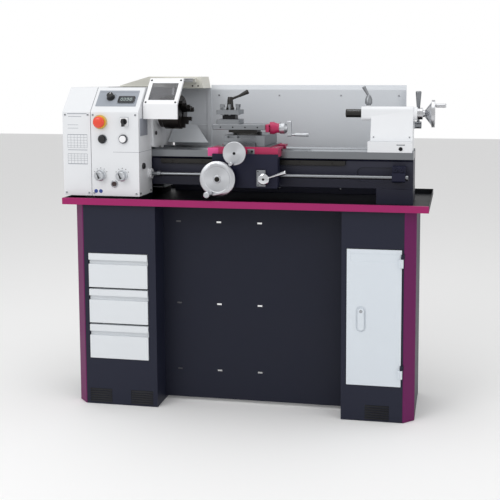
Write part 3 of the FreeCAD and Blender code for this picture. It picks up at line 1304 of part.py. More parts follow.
def build_swivel():
    """Graduated swivel base of the compound slide."""
    z0 = CROSS_TOP_Z + SLIDING
    disc = rod_z(z0, z0 + 9, SWIVEL_X, POST_Y, SWIVEL_R)
    reach = TOP_SLIDE_X1 - TOP_SLIDE_TRAVEL - 2
    upper = box(SWIVEL_X - 48, reach, POST_Y - 34, POST_Y + 34, z0 + 8, SWIVEL_TOP_Z)
    tail = box(SWIVEL_X - 66, reach, POST_Y - 18, POST_Y + 18, z0 + 8, SWIVEL_TOP_Z)
    return fuse(disc, upper, tail)


def build_top_slide():
    """Top slide with side gib plates and the stud that clamps the tool post."""
    y0, y1 = POST_Y - TOP_SLIDE_HALF_Y, POST_Y + TOP_SLIDE_HALF_Y
    plate = box(TOP_SLIDE_X0, TOP_SLIDE_X1, y0, y1, TOP_SLIDE_Z0, TOP_SLIDE_Z1)
    plate = plate.makeChamfer(1.5, plate.Edges)
    stud = rod_z(TOP_SLIDE_Z1 - 1, POST_Z3 + 40, POST_X, POST_Y, POST_STUD_R)
    return fuse(plate, stud)


def build_crank_bearing():
    """Bearing bracket on the end of the top slide."""
    x0 = TOP_SLIDE_X1
    flange = box(x0, x0 + 12, POST_Y - 36, POST_Y + 36, TOP_SLIDE_Z0 - 8, TOP_SLIDE_Z1)
    flange = flange.makeFillet(4, edges_along(flange, V(1, 0, 0)))
    barrel = turned_x(
        [(x0 + 11, 0), (x0 + 11, CRANK_BEARING_R), (x0 + 24, CRANK_BEARING_R), (x0 + 36, 17),
         (x0 + 46, 17), (x0 + 46, 0)],
        POST_Y, CRANK_Z,
    )
    bore = rod_x(x0 + 6, x0 + 47, POST_Y, CRANK_Z, CRANK_SHAFT_R + RUNNING)
    return cut(fuse(flange, barrel), bore)


def build_crank():
    """Top-slide crank: graduated dial, cross bar and handle."""
    x0 = TOP_SLIDE_X1 + 46 + SLIDING
    dial = turned_x(
        [(x0, 0), (x0, CRANK_DIAL_R), (x0 + 18, CRANK_DIAL_R), (x0 + 24, 15), (x0 + 29, 12), (x0 + 29, 0)],
        POST_Y, CRANK_Z,
    )
    shaft = rod_x(TOP_SLIDE_X1 + 8, x0 + 1, POST_Y, CRANK_Z, CRANK_SHAFT_R)
    arm = box(x0 + 28, x0 + 42, POST_Y - 8, POST_Y + 8, CRANK_Z - 30, CRANK_Z + 27)
    arm = arm.makeFillet(5, edges_along(arm, V(1, 0, 0)))
    grip = turned_x(
        [(x0 + 41, 0), (x0 + 41, 4), (x0 + 50, 4), (x0 + 54, 6), (x0 + 102, 6.5), (x0 + 106, 5), (x0 + 106, 0)],
        POST_Y, CRANK_Z - 23,
    )
    return fuse(dial, shaft, arm, grip)


def build_tool_post():
    """Four-way tool post: foot, recessed core, top plate and clamping screws."""
    h = POST_SIDE / 2
    c = POST_CORE / 2
    foot = box(POST_X - h, POST_X + h, POST_Y - h, POST_Y + h, POST_Z0, POST_Z1)
    core = box(POST_X - c, POST_X + c, POST_Y - c, POST_Y + c, POST_Z1 - 1, POST_Z2 + 1)
    top = box(POST_X - h, POST_X + h, POST_Y - h, POST_Y + h, POST_Z2, POST_Z3)
    foot = foot.makeChamfer(2, edges_along(foot, V(0, 0, 1)))
    top = top.makeChamfer(2, edges_along(top, V(0, 0, 1)))
    post = fuse(foot, core, top)
    screws = []
    edge = h - 9
    for side in range(4):
        a = math.radians(90 * side)
        for along in (-1, 0):
            u, w = edge, along * (h - 18) + 5
            x = POST_X + u * math.cos(a) - w * math.sin(a)
            y = POST_Y + u * math.sin(a) + w * math.cos(a)
            shank = rod_z(POST_Z2 - 3, POST_Z3 + 10, x, y, 4)
            head = box(x - 4.5, x + 4.5, y - 4.5, y + 4.5, POST_Z3 + 9, POST_Z3 + 20)
            screws.append(fuse(shank, head))
    post = fuse(post, *screws)
    return cut(post, rod_z(POST_Z0 - 1, POST_Z3 + 1, POST_X, POST_Y, POST_STUD_R + RUNNING))


def build_post_lever():
    """Clamping lever on the tool post's stud."""
    z = POST_Z3 + SLIDING
    boss = turned_z(
        [(z, 0), (z, 15), (z + 6, 15), (z + 10, 12), (z + 38, 10), (z + 46, 8), (z + 46, 0)],
        POST_X, POST_Y,
    )
    root = (POST_X + 4, POST_Y, z + 38)
    middle = (POST_X + 36, POST_Y + 5, z + 51)
    tip = (POST_X + 66, POST_Y + 9, z + 66)
    arm = bar(root, middle, 4.5)
    collar = bar((middle[0] - 3, middle[1] - 0.5, middle[2] - 2), middle, 5.2)
    lever = fuse(boss, arm, collar, knob_bar(middle, tip, 5, 9))
    return cut(lever, rod_z(z - 1, POST_Z3 + 40 + SLIDING, POST_X, POST_Y, POST_STUD_R + RUNNING))


# ---------------------------------------------------------------- tailstock
def build_tailstock():
    """Tailstock: base, body and barrel, with the screw's end cap."""
    y = TAIL_HALF_Y
    z0, z1 = BED_TOP_Z, TAIL_BASE_Z
    base = box(TAIL_X0, TAIL_X1, -BED_HALF_W + 1, BED_HALF_W - 1, z0, z1)
    grooves = [
        prism_x([(s * VEE_Y - 9, z0 - 1), (s * VEE_Y, z0 + 9), (s * VEE_Y + 9, z0 - 1)],
                TAIL_X0 - 1, TAIL_X1 + 1)
        for s in (-1, 1)
    ]
    base = cut(base, *grooves)
    x0 = TAIL_X0 + 8
    body = prism_x(
        [(-y, z1 + 0.5), (-y, z1 + 24), (-BARREL_HALF, AXIS_Z - 10), (BARREL_HALF, AXIS_Z - 10),
         (y, z1 + 24), (y, z1 + 0.5)],
        x0, TAIL_X1,
    )
    neck = box(x0, TAIL_X1, -y + 4, y - 4, z1 - 1, z1 + 1)
    barrel = box(
        BARREL_X0, TAIL_X1, -BARREL_HALF, BARREL_HALF, AXIS_Z - BARREL_HALF, AXIS_Z + BARREL_HALF
    )
    barrel = barrel.makeFillet(12, edges_along(barrel, V(1, 0, 0)))
    cap = rod_x(TAIL_X1 - 1, TAIL_X1 + 14, 0, AXIS_Z, 24)
    lock_boss = rod_z(AXIS_Z + 16, AXIS_Z + BARREL_HALF + 3, LOCK_X, 0, 11)
    clamp_boss = rod_x(TAIL_X1 - 1, TAIL_X1 + 3, CLAMP_Y, CLAMP_Z, 15)
    tail = fuse(base, body, neck, barrel, cap, lock_boss, clamp_boss)
    return cut(
        tail,
        rod_x(BARREL_X0 - 1, TAIL_X1 - 14, 0, AXIS_Z, QUILL_R + RUNNING),
        rod_x(TAIL_X1 - 20, TAIL_X1 + 20, 0, AXIS_Z, TAIL_SCREW_R + RUNNING),
        rod_z(AXIS_Z + QUILL_R + 2, AXIS_Z + 40, LOCK_X, 0, STEM_R + RUNNING),
        rod_x(TAIL_X1 - 20, TAIL_X1 + 10, CLAMP_Y, CLAMP_Z, STEM_R + RUNNING),
    )


def build_quill():
    x0, x1 = QUILL_X0, QUILL_X0 + QUILL_LENGTH
    quill = rod_x(x0, x1, 0, AXIS_Z, QUILL_R)
    quill = quill.makeChamfer(1.2, [e for e in quill.Edges if e.CenterOfMass.x < x0 + 1])
    return cut(
        quill,
        rod_x(x0 - 1, x0 + QUILL_BORE_DEPTH, 0, AXIS_Z, QUILL_BORE_R),
        rod_x(x1 - 120, x1 + 1, 0, AXIS_Z, TAIL_SCREW_R + SLIDING),
    )


def build_lock_lever():
    """Quill lock: a bottle-shaped boss with a leaning handle."""
    z = AXIS_Z + BARREL_HALF + 3 + SLIDING
    boss = turned_z(
        [(z, 0), (z, 9), (z + 4, 9), (z + 7, 13), (z + 22, 13), (z + 34, 8), (z + 38, 5), (z + 38, 0)],
        LOCK_X, 0,
    )
    stem = rod_z(AXIS_Z + QUILL_R + 4, z + 1, LOCK_X, 0, STEM_R)
    root = (LOCK_X, 0, z + 34)
    tip = (LOCK_X - 19, 0, z + 68)
    return fuse(boss, stem, knob_bar(root, tip, 4, 7))


def build_clamp_lever():
    """Tailstock clamp lever on the end face."""
    x = TAIL_X1 + 3 + SLIDING
    hub = rod_x(x, x + 24, CLAMP_Y, CLAMP_Z, 13)
    hub = hub.makeFillet(2, [e for e in hub.Edges if e.CenterOfMass.x > x + 23])
    stem = rod_x(TAIL_X1 - 18, x + 1, CLAMP_Y, CLAMP_Z, STEM_R)
    middle = (x + 12, CLAMP_Y + 2, CLAMP_Z + 62)
    tip = (x + 12, CLAMP_Y + 4, CLAMP_Z + 122)
    arm = bar((x + 12, CLAMP_Y, CLAMP_Z + 10), middle, 5)
    return fuse(hub, stem, arm, knob_bar(middle, tip, 6, 11))


def build_tail_wheel():
    """Tailstock handwheel: dial, coned hub, rim, handle and the feed screw."""
    x0 = TAIL_X1 + 14 + SLIDING
    rim_x = x0 + 50
    profile = [
        (x0, 0), (x0, 21), (x0 + 18, 21), (x0 + 20, 12), (x0 + 26, 12), (x0 + 32, 20),
        (rim_x, TAIL_WHEEL_R - 6), (rim_x, TAIL_WHEEL_R), (rim_x + 11, TAIL_WHEEL_R),
        (rim_x + 11, TAIL_WHEEL_R - 8), (rim_x + 3, 20), (rim_x + 3, 0),
    ]
    wheel = turned_x(profile, 0, AXIS_Z)
    screw = rod_x(QUILL_X0 + QUILL_LENGTH - 90, x0 + 1, 0, AXIS_Z, TAIL_SCREW_R)
    a = math.radians(35)
    hy, hz = -36 * math.sin(a), AXIS_Z + 36 * math.cos(a)
    grip = turned_x(
        [(rim_x + 2, 0), (rim_x + 2, 5), (rim_x + 14, 5), (rim_x + 16, 7), (rim_x + 48, 7.5),
         (rim_x + 51, 6), (rim_x + 51, 0)],
        hy, hz,
    )
    return fuse(wheel, screw, grip)


# ---------------------------------------------------------------- all nodes
def build_all():
    save("left_pedestal", build_left_pedestal())
    save("right_pedestal", build_right_pedestal())
    save("corner_strips", *build_corner_strips())
    save("kick_panel", build_kick_panel())
    save("chip_tray", build_tray())
    save("tray_front_lip", build_lip())
    for level, name in enumerate(("bottom", "middle", "top")):
        save("drawer_" + name, build_drawer(level))
    save("cabinet_door", build_door())
    save("door_latch", build_latch())
    save("bed", build_bed())
    save("feed_rack", *build_rack())
    save("leadscrew", build_leadscrew())
    save("leadscrew_bracket", build_bracket())
    save("headstock_casting", build_head_casting())
    save("headstock_cover", fuse(build_head_cover(), *cover_hinge_pins()))
    save("gear_cover", build_gear_cover())
    save("control_fittings", *build_control_fittings())
    save("emergency_stop_button", build_estop())
    save("start_button", build_button(START_AT))
    save("stop_button", build_button(STOP_AT))
    save("direction_switch", build_switch())
    for place, name in zip(FEED_KNOBS_AT, ("left", "right")):
        save("feed_knob_" + name, build_feed_knob(place))
    save("speed_knob", build_speed_knob())
    save("spindle", build_spindle())
    save("spindle_bearings", *build_bearings())
    save("chuck_body", build_chuck())
    for n in range(3):
        save("chuck_jaw_" + str(n + 1), build_jaw(n))
    spindle_gear, idler, screw_gear = build_gears()
    save("idler_gear", idler)
    save("leadscrew_gear", screw_gear)
    save("gear_banjo", build_banjo())
    spindle_pulley, motor_pulley = build_pulleys()
    save("spindle_drive_wheels", spindle_gear, spindle_pulley)
    save("motor_pulley", motor_pulley)
    save("drive_belt", build_belt())
    save("drive_motor", build_motor())
    save("chuck_guard", build_guard())
    save("guard_window", build_window())
    save("rear_hood", build_hood())
    save("splash_guard", build_splash())
    save("saddle", build_saddle())
    save("apron", build_apron())
    save("carriage_handwheel", build_carriage_wheel())
    save("cross_handwheel", build_cross_wheel())
    save("half_nut_lever", build_half_nut_lever())
    save("cross_slide", build_cross_slide())
    save("compound_swivel", build_swivel())
    save("top_slide", build_top_slide())
    save("crank_bearing", build_crank_bearing())
    save("top_slide_crank", build_crank())
    save("tool_post", build_tool_post())
    save("tool_post_lever", build_post_lever())
    save("tailstock", build_tailstock())
    save("quill", build_quill())
    save("quill_lock_lever", build_lock_lever())
    save("tailstock_clamp_lever", build_clamp_lever())
    save("tailstock_handwheel", build_tail_wheel())


os.makedirs("parts", exist_ok=True)
build_all()
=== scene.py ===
"""Looks of a metal lathe on its cabinet stand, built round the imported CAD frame.

Lengths in the dataclass fields are millimetres; meshes are in metres, in the row frame:
+X along the bed towards the tailstock, -Y towards the operator, +Z up.
"""

import logging
import math
from dataclasses import dataclass
from enum import Enum

import bpy
import numpy as np
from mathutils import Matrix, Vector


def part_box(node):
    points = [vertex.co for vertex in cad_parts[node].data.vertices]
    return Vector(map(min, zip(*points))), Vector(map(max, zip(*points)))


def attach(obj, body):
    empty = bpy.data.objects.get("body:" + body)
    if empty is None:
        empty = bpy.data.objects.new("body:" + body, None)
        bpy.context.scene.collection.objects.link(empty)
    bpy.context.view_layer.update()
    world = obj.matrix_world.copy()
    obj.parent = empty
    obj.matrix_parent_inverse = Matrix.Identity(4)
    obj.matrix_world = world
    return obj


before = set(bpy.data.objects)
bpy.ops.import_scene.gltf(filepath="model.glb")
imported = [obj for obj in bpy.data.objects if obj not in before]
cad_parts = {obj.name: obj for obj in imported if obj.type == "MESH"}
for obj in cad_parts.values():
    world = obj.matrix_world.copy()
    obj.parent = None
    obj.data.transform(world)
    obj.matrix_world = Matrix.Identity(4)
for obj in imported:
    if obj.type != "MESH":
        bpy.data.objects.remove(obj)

MM = 0.001
SMOOTH_ANGLE = math.radians(34)
WELD_MM = 0.01
# Places on the lathe that several pieces share, in mm.
SPINDLE_Z = 1060.0
POST_X, POST_Y = -74.0, -59.0

log = logging.getLogger("lathe")

Array = np.ndarray


# ---------------------------------------------------------------- node and colour helpers
def linear(hex_colour: str) -> tuple[float, float, float, float]:
    """Turns an sRGB hex colour into linear light.

    Args:
        hex_colour: six hex digits after a hash sign.

    Returns:
        Red, green, blue and an alpha of one.
    """
    srgb = np.array([int(hex_colour[i : i + 2], 16) for i in (1, 3, 5)]) / 255
    low, high = srgb / 12.92, ((srgb + 0.055) / 1.055) ** 2.4
    return (*np.where(srgb <= 0.04045, low, high).tolist(), 1.0)


def add_node(tree: bpy.types.NodeTree, kind: str, settings: dict, links: dict) -> bpy.types.Node:
    """Adds one shader node.

    Args:
        tree: the material's node tree.
        kind: the node's type name.
        settings: values by attribute name, or by socket name or number.
        links: output sockets by the name or number of the input that they feed.

    Returns:
        The new node.
    """
    node = tree.nodes.new(kind)
    for key, value in settings.items():
        if isinstance(key, str) and hasattr(node, key) and key not in node.inputs:
            setattr(node, key, value)
        else:
            node.inputs[key].default_value = value
    for key, socket in links.items():
        tree.links.new(socket, node.inputs[key])
    return node


# ---------------------------------------------------------------- finishes
class Grain(Enum):
    """How a surface was made, which sets the pattern on it."""

    SMOOTH = "moulded or polished"
    ORANGE_PEEL = "sprayed enamel"
    CAST = "painted casting"
    GROUND = "ground along X"
    TURNED = "turned about an axis"


@dataclass(frozen=True)
class Finish:
    """One material: its colour, gloss and the pattern its making left.

    spread is how far the colour wanders, size_mm the pattern's real size, depth_mm its relief
    and specular the strength of the reflections of a paint.
    """

    name: str
    colour: str
    roughness: float
    metallic: float = 0.0
    grain: Grain = Grain.SMOOTH
    size_mm: float = 3.0
    depth_mm: float = 0.02
    spread: float = 0.0
    coat: float = 0.0
    see_through: float = 0.0
    specular: float = 0.5
    axis: tuple[float, float, float] = (0.0, 1.0, 0.0)
    centre_mm: tuple[float, float, float] = (0.0, 0.0, 0.0)

    def stretch(self) -> tuple[float, float, float]:
        """Scale of the pattern along X, Y and Z, so that one period is size_mm."""
        period = 1 / (self.size_mm * MM)
        if self.grain is Grain.GROUND:
            return (period * 0.02, period, period)
        return (period, period, period)

    def build(self) -> bpy.types.Material:
        """Makes the material, or returns the one already made."""
        found = bpy.data.materials.get(self.name)
        if found:
            return found
        material = bpy.data.materials.new(self.name)
        material.use_nodes = True
        tree = material.node_tree
        shader = tree.nodes["Principled BSDF"]
        shader.inputs["Base Color"].default_value = linear(self.colour)
        shader.inputs["Roughness"].default_value = self.roughness
        shader.inputs["Specular IOR Level"].default_value = self.specular
        shader.inputs["Metallic"].default_value = self.metallic
        shader.inputs["Coat Weight"].default_value = self.coat
        shader.inputs["Coat Roughness"].default_value = 0.12
        shader.inputs["Transmission Weight"].default_value = self.see_through
        if self.grain is not Grain.SMOOTH:
            self.add_pattern(tree, shader)
        return material

    def add_pattern(self, tree: bpy.types.NodeTree, shader: bpy.types.Node) -> None:
        """Adds the grain's relief, and its wander of colour and gloss."""
        place = add_node(tree, "ShaderNodeTexCoord", {}, {}).outputs["Object"]
        if self.grain is Grain.TURNED:
            place = self.add_turning(tree, shader, place)
        mapping = add_node(tree, "ShaderNodeMapping", {"Scale": self.stretch()}, {"Vector": place})
        noise = add_node(
            tree, "ShaderNodeTexNoise", {"Scale": 1.0, "Detail": 3.0, "Roughness": 0.55},
            {"Vector": mapping.outputs["Vector"]},
        )
        blotch = add_node(
            tree, "ShaderNodeTexNoise", {"Scale": 9.0, "Detail": 2.0}, {"Vector": place}
        )
        bump = add_node(
            tree, "ShaderNodeBump", {"Distance": self.depth_mm * MM, "Strength": 1.0},
            {"Height": noise.outputs["Fac"]},
        )
        tree.links.new(bump.outputs["Normal"], shader.inputs["Normal"])
        base = np.array(linear(self.colour))
        low, high = base * (1 - self.spread), np.minimum(base * (1 + self.spread), 1)
        driver = noise if self.metallic > 0.5 else blotch
        colour = add_node(tree, "ShaderNodeMix", {"data_type": "RGBA"}, {0: driver.outputs["Fac"]})
        colour.inputs[6].default_value = (*low[:3], 1)
        colour.inputs[7].default_value = (*high[:3], 1)
        tree.links.new(colour.outputs[2], shader.inputs["Base Color"])
        gloss = add_node(
            tree, "ShaderNodeMapRange",
            {"To Min": self.roughness * 0.85, "To Max": min(1.0, self.roughness * 1.15)},
            {"Value": driver.outputs["Fac"]},
        )
        tree.links.new(gloss.outputs["Result"], shader.inputs["Roughness"])

    def add_turning(
        self, tree: bpy.types.NodeTree, shader: bpy.types.Node, place: bpy.types.NodeSocket
    ) -> bpy.types.NodeSocket:
        """Makes rings about the turning axis, and shines across them.

        The ring coordinate is the distance from the axis and the place along it. The tangent is
        the cross product of the axis with the arm from the centre.

        Returns:
            The socket with the ring coordinate.
        """
        centre = tuple(c * MM for c in self.centre_mm)
        arm = add_node(
            tree, "ShaderNodeVectorMath", {"operation": "SUBTRACT", 1: centre}, {0: place}
        ).outputs[0]
        cross = add_node(
            tree, "ShaderNodeVectorMath", {"operation": "CROSS_PRODUCT", 0: self.axis}, {1: arm}
        ).outputs[0]
        along = add_node(
            tree, "ShaderNodeVectorMath", {"operation": "DOT_PRODUCT", 0: self.axis}, {1: arm}
        ).outputs["Value"]
        reach = add_node(
            tree, "ShaderNodeVectorMath", {"operation": "LENGTH"}, {0: cross}
        ).outputs["Value"]
        tangent = add_node(
            tree, "ShaderNodeVectorTransform",
            {"vector_type": "VECTOR", "convert_from": "OBJECT", "convert_to": "WORLD"},
            {"Vector": cross},
        )
        shader.inputs["Anisotropic"].default_value = 0.75
        tree.links.new(tangent.outputs[0], shader.inputs["Tangent"])
        return add_node(tree, "ShaderNodeCombineXYZ", {}, {"X": reach, "Y": along}).outputs[0]


@dataclass(frozen=True)
class TwoZoneFinish:
    """One finish below a height and another above it, such as paint under machined ways."""

    name: str
    lower: Finish
    upper: Finish
    level_mm: float

    def build(self) -> bpy.types.Material:
        """Makes the lower finish and swaps colour, metal and gloss above the level."""
        found = bpy.data.materials.get(self.name)
        if found:
            return found
        material = bpy.data.materials.new(self.name)
        material.use_nodes = True
        tree = material.node_tree
        shader = tree.nodes["Principled BSDF"]
        place = add_node(tree, "ShaderNodeTexCoord", {}, {}).outputs["Object"]
        split = add_node(tree, "ShaderNodeSeparateXYZ", {}, {0: place})
        above = add_node(
            tree, "ShaderNodeMath", {"operation": "GREATER_THAN", 1: self.level_mm * MM},
            {0: split.outputs["Z"]},
        ).outputs[0]
        mapping = add_node(
            tree, "ShaderNodeMapping", {"Scale": self.upper.stretch()}, {"Vector": place}
        )
        noise = add_node(
            tree, "ShaderNodeTexNoise", {"Scale": 1.0, "Detail": 3.0},
            {"Vector": mapping.outputs["Vector"]},
        )
        tone = np.array(linear(self.upper.colour))[:3]
        streaks = add_node(tree, "ShaderNodeMix", {"data_type": "RGBA"}, {0: noise.outputs["Fac"]})
        streaks.inputs[6].default_value = (*(tone * (1 - self.upper.spread)), 1)
        streaks.inputs[7].default_value = (*(tone * (1 + self.upper.spread)), 1)
        colour = add_node(
            tree, "ShaderNodeMix", {"data_type": "RGBA"}, {0: above, 7: streaks.outputs[2]}
        )
        colour.inputs[6].default_value = linear(self.lower.colour)
        tree.links.new(colour.outputs[2], shader.inputs["Base Color"])
        if self.upper.metallic:
            tree.links.new(above, shader.inputs["Metallic"])
        gloss = add_node(
            tree, "ShaderNodeMapRange",
            {"To Min": self.lower.roughness, "To Max": self.upper.roughness}, {"Value": above},
        )
        tree.links.new(gloss.outputs["Result"], shader.inputs["Roughness"])
        return material


def enamel(
    name: str, colour: str, roughness: float, depth_mm: float, spread: float, size_mm: float = 3.0
) -> Finish:
    """Sprayed enamel over sheet steel: soft gloss with a faint orange peel."""
    return Finish("enamel_" + name, colour, roughness, 0.0, Grain.ORANGE_PEEL, size_mm, depth_mm, spread)


def powder_coat(
    name: str, colour: str, roughness: float, size_mm: float, depth_mm: float, spread: float
) -> Finish:
    """Powder coat: a fine pebbled skin that breaks up reflections and shines little."""
    return Finish(
        "powder_coat_" + name, colour, roughness, 0.0, Grain.ORANGE_PEEL, size_mm, depth_mm, spread,
        specular=0.25,
    )


# Sprayed enamel over sheet steel: soft gloss with a faint orange peel.
HEAD_WHITE = enamel("head_white", "#DDDFE2", 0.38, 0.012, 0.02)
GUARD_WHITE = enamel("guard_white", "#E8E9EB", 0.35, 0.01, 0.01)
HOOD_WHITE = enamel("hood_warm_white", "#D6D5CC", 0.42, 0.012, 0.02)
SPLASH_GREY = enamel("splash_grey", "#D0D4D9", 0.3, 0.01, 0.03, 4)
DRAWER_GREY = enamel("drawer_grey", "#D9DDE1", 0.42, 0.01, 0.015)
DOOR_GREY = enamel("door_grey", "#D3DAE1", 0.42, 0.01, 0.015)
# Powder coat: a fine pebbled skin that breaks up reflections.
ANTHRACITE = powder_coat("anthracite", "#1D2030", 0.5, 1.5, 0.02, 0.06)
KICK_DARK = powder_coat("kick_panel", "#171A29", 0.55, 1.5, 0.02, 0.06)
TRAY_BLACK = powder_coat("tray_black", "#111218", 0.5, 1.5, 0.02, 0.08)
LIP_MAGENTA = powder_coat("magenta", "#98205F", 0.42, 2, 0.012, 0.03)
STRIP_PLUM = powder_coat("plum", "#640B50", 0.45, 2, 0.012, 0.03)
# Two-pack paint on grey iron castings: the sand's texture shows through it.
CAST_CRIMSON = Finish("casting_paint_crimson", "#AE2153", 0.4, grain=Grain.CAST, size_mm=5, depth_mm=0.05,
                      spread=0.05)
CAST_DARK = Finish("casting_paint_blue_black", "#191B30", 0.45, grain=Grain.CAST, size_mm=5, depth_mm=0.06,
                   spread=0.06, specular=0.25)
CAST_WHITE = Finish("casting_paint_white", "#E4E6E9", 0.4, grain=Grain.CAST, size_mm=6, depth_mm=0.05,
                    spread=0.02)
IRON_GREY = Finish("bare_cast_iron", "#77797C", 0.55, 0.7, Grain.CAST, 3, 0.04, 0.1)
# Ground and milled steel: streaks along the stroke of the wheel.
GROUND_STEEL = Finish("ground_steel", "#85888C", 0.3, 1.0, Grain.GROUND, 0.8, 0.004, 0.12)
MILLED_STEEL = Finish("milled_steel", "#8C8F93", 0.33, 1.0, Grain.GROUND, 1.2, 0.006, 0.14)
DARK_STEEL = Finish("oiled_dark_steel", "#3B3A39", 0.36, 1.0, Grain.GROUND, 1.0, 0.006, 0.2)
BLACK_OXIDE = Finish("black_oxide_steel", "#2A2827", 0.42, 0.85, Grain.CAST, 1.2, 0.01, 0.15)
SCREW_BLACK = Finish("blacked_screw", "#17171A", 0.4, 0.6)
CHROME = Finish("chrome_plate", "#D4D6D9", 0.12, 1.0)
BRIGHT_STEEL = Finish("bright_steel", "#A6A9AD", 0.22, 1.0)
# Injection moulded plastics and rubber.
RED_CAP = Finish("abs_signal_red", "#E0472F", 0.3, coat=0.2)
YELLOW_RING = Finish("abs_safety_yellow", "#E9C33C", 0.4)
BLACK_PLASTIC = Finish("abs_black", "#1A1A1C", 0.42)
WHITE_CAP = Finish("abs_white", "#ECECEE", 0.35)
BLUE_DISC = Finish("vinyl_blue", "#22408A", 0.5)
LABEL_GREY = Finish("printed_film_grey", "#8D919A", 0.55)
PANEL_SILVER = Finish("printed_film_silver", "#9399A2", 0.45)
RUBBER = Finish("nitrile_rubber", "#1D1D1F", 0.75, grain=Grain.CAST, size_mm=2, depth_mm=0.03, spread=0.1)
SCREEN = Finish("display_glass", "#3A4248", 0.15)
SCREEN_INK = Finish("display_digits", "#C9D6CF", 0.4)
OIL_GLASS = Finish("sight_glass", "#2A1413", 0.08, coat=0.4)
# Smoke-tinted polycarbonate sheet, 2 mm.
GUARD_WINDOW = Finish("polycarbonate_smoke", "#8F9096", 0.06, see_through=0.92)


# ---------------------------------------------------------------- shapes
@dataclass(frozen=True)
class Face:
    """A plane that pieces stand on: its origin, and its right and up directions.

    Its outward normal is right crossed with up.
    """

    origin: tuple[float, float, float]
    right: tuple[float, float, float]
    up: tuple[float, float, float]

    def at(self, u: Array, v: Array, out: Array) -> Array:
        """Points u to the right, v up and out along the normal, all in millimetres."""
        right, up = np.array(self.right), np.array(self.up)
        normal = np.cross(right, up)
        u, v, out = np.broadcast_arrays(u, v, out)
        local = u[..., None] * right + v[..., None] * up + out[..., None] * normal
        return (np.array(self.origin) + local) * MM

    def moved(self, u: float, v: float, out: float = 0.0) -> "Face":
        """The same plane with its origin moved, in millimetres."""
        point = self.at(np.array(u), np.array(v), np.array(out)) / MM
        return Face(tuple(point.tolist()), self.right, self.up)


RIGHT, BACK, UP = (1.0, 0.0, 0.0), (0.0, 1.0, 0.0), (0.0, 0.0, 1.0)
LEFT, FRONT = (-1.0, 0.0, 0.0), (0.0, -1.0, 0.0)


def front_face(x: float, y: float, z: float) -> Face:
    """A plane that faces the operator."""
    return Face((x, y, z), RIGHT, UP)


def end_face(x: float, y: float, z: float) -> Face:
    """A plane that faces the tailstock end."""
    return Face((x, y, z), BACK, UP)


def top_face(x: float, y: float, z: float) -> Face:
    """A plane that faces up."""
    return Face((x, y, z), RIGHT, BACK)


def cad(node: str) -> tuple[Array, Array]:
    """Lowest and highest corner of a CAD node, in millimetres."""
    low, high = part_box(node)
    return np.array(low) / MM, np.array(high) / MM


def middle(node: str) -> Array:
    """Centre of a CAD node's box, in millimetres."""
    low, high = cad(node)
    return (low + high) / 2


def circle(radius: float, count: int = 32) -> Array:
    """A circle: radius times the cosine and sine of an even sweep."""
    angle = np.linspace(0, 2 * math.pi, count, endpoint=False)
    return radius * np.stack([np.cos(angle), np.sin(angle)], 1)


def rounded_rectangle(width: float, height: float, radius: float, per_corner: int = 5) -> Array:
    """A rectangle with round corners: four quarter circles about inset corner centres."""
    quarter = np.linspace(0, math.pi / 2, per_corner)
    angle = (quarter[None] + np.arange(4)[:, None] * math.pi / 2).ravel()
    side_u, side_v = width / 2 - radius, height / 2 - radius
    centre = np.array([[side_u, side_v], [-side_u, side_v], [-side_u, -side_v], [side_u, -side_v]])
    return np.repeat(centre, per_corner, 0) + radius * np.stack([np.cos(angle), np.sin(angle)], 1)


def rounded_profile(points: list[tuple[float, float]], radius: float, steps: int = 3) -> Array:
    """Rounds a profile's inner corners.

    Each corner becomes a quadratic curve between points that lie radius away along both sides.
    """
    path = np.array(points, float)
    before, corner, after = path[:-2], path[1:-1], path[2:]
    way_in, way_out = before - corner, after - corner
    len_in = np.linalg.norm(way_in, axis=1, keepdims=True)
    len_out = np.linalg.norm(way_out, axis=1, keepdims=True)
    start = corner + way_in / len_in * np.minimum(radius, len_in * 0.45)
    end = corner + way_out / len_out * np.minimum(radius, len_out * 0.45)
    t = np.linspace(0, 1, steps + 1)[None, :, None]
    curve = (1 - t) ** 2 * start[:, None] + 2 * t * (1 - t) * corner[:, None] + t**2 * end[:, None]
    return np.concatenate([path[:1], curve.reshape(-1, 2), path[-1:]])


def mesh_object(name: str, points: Array, faces: Array, finish: Finish, body: str) -> bpy.types.Object:
    """Puts points and faces into one mesh object that rides on a body.

    Args:
        name: the piece's name.
        points: places in metres, one row each.
        faces: point numbers, one row per face.
        finish: its material.
        body: the CAD body that it moves with.

    Returns:
        The new object, with outward faces.
    """
    a, b, c = (points[faces[:, k]] for k in (0, 1, 2))
    volume = np.einsum("ij,ij->i", a, np.cross(b, c)).sum()
    if faces.shape[1] == 4:
        d = points[faces[:, 3]]
        volume += np.einsum("ij,ij->i", a, np.cross(c, d)).sum()
    if volume < 0:
        faces = faces[:, ::-1]
    mesh = bpy.data.meshes.new(name)
    mesh.from_pydata(points.tolist(), [], faces.tolist())
    mesh.validate()
    mesh.shade_smooth()
    mesh.set_sharp_from_angle(angle=SMOOTH_ANGLE)
    mesh.materials.append(finish.build())
    piece = bpy.data.objects.new(name, mesh)
    bpy.context.scene.collection.objects.link(piece)
    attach(piece, body)
    log.info("piece %s on %s, %d faces", name, body, len(faces))
    return piece


def grid_faces(rings: int, count: int) -> Array:
    """Quads of a grid of rings that closes round each ring."""
    i, j = np.meshgrid(np.arange(rings - 1), np.arange(count), indexing="ij")
    k = (j + 1) % count
    quads = [i * count + j, i * count + k, (i + 1) * count + k, (i + 1) * count + j]
    return np.stack(quads, -1).reshape(-1, 4)


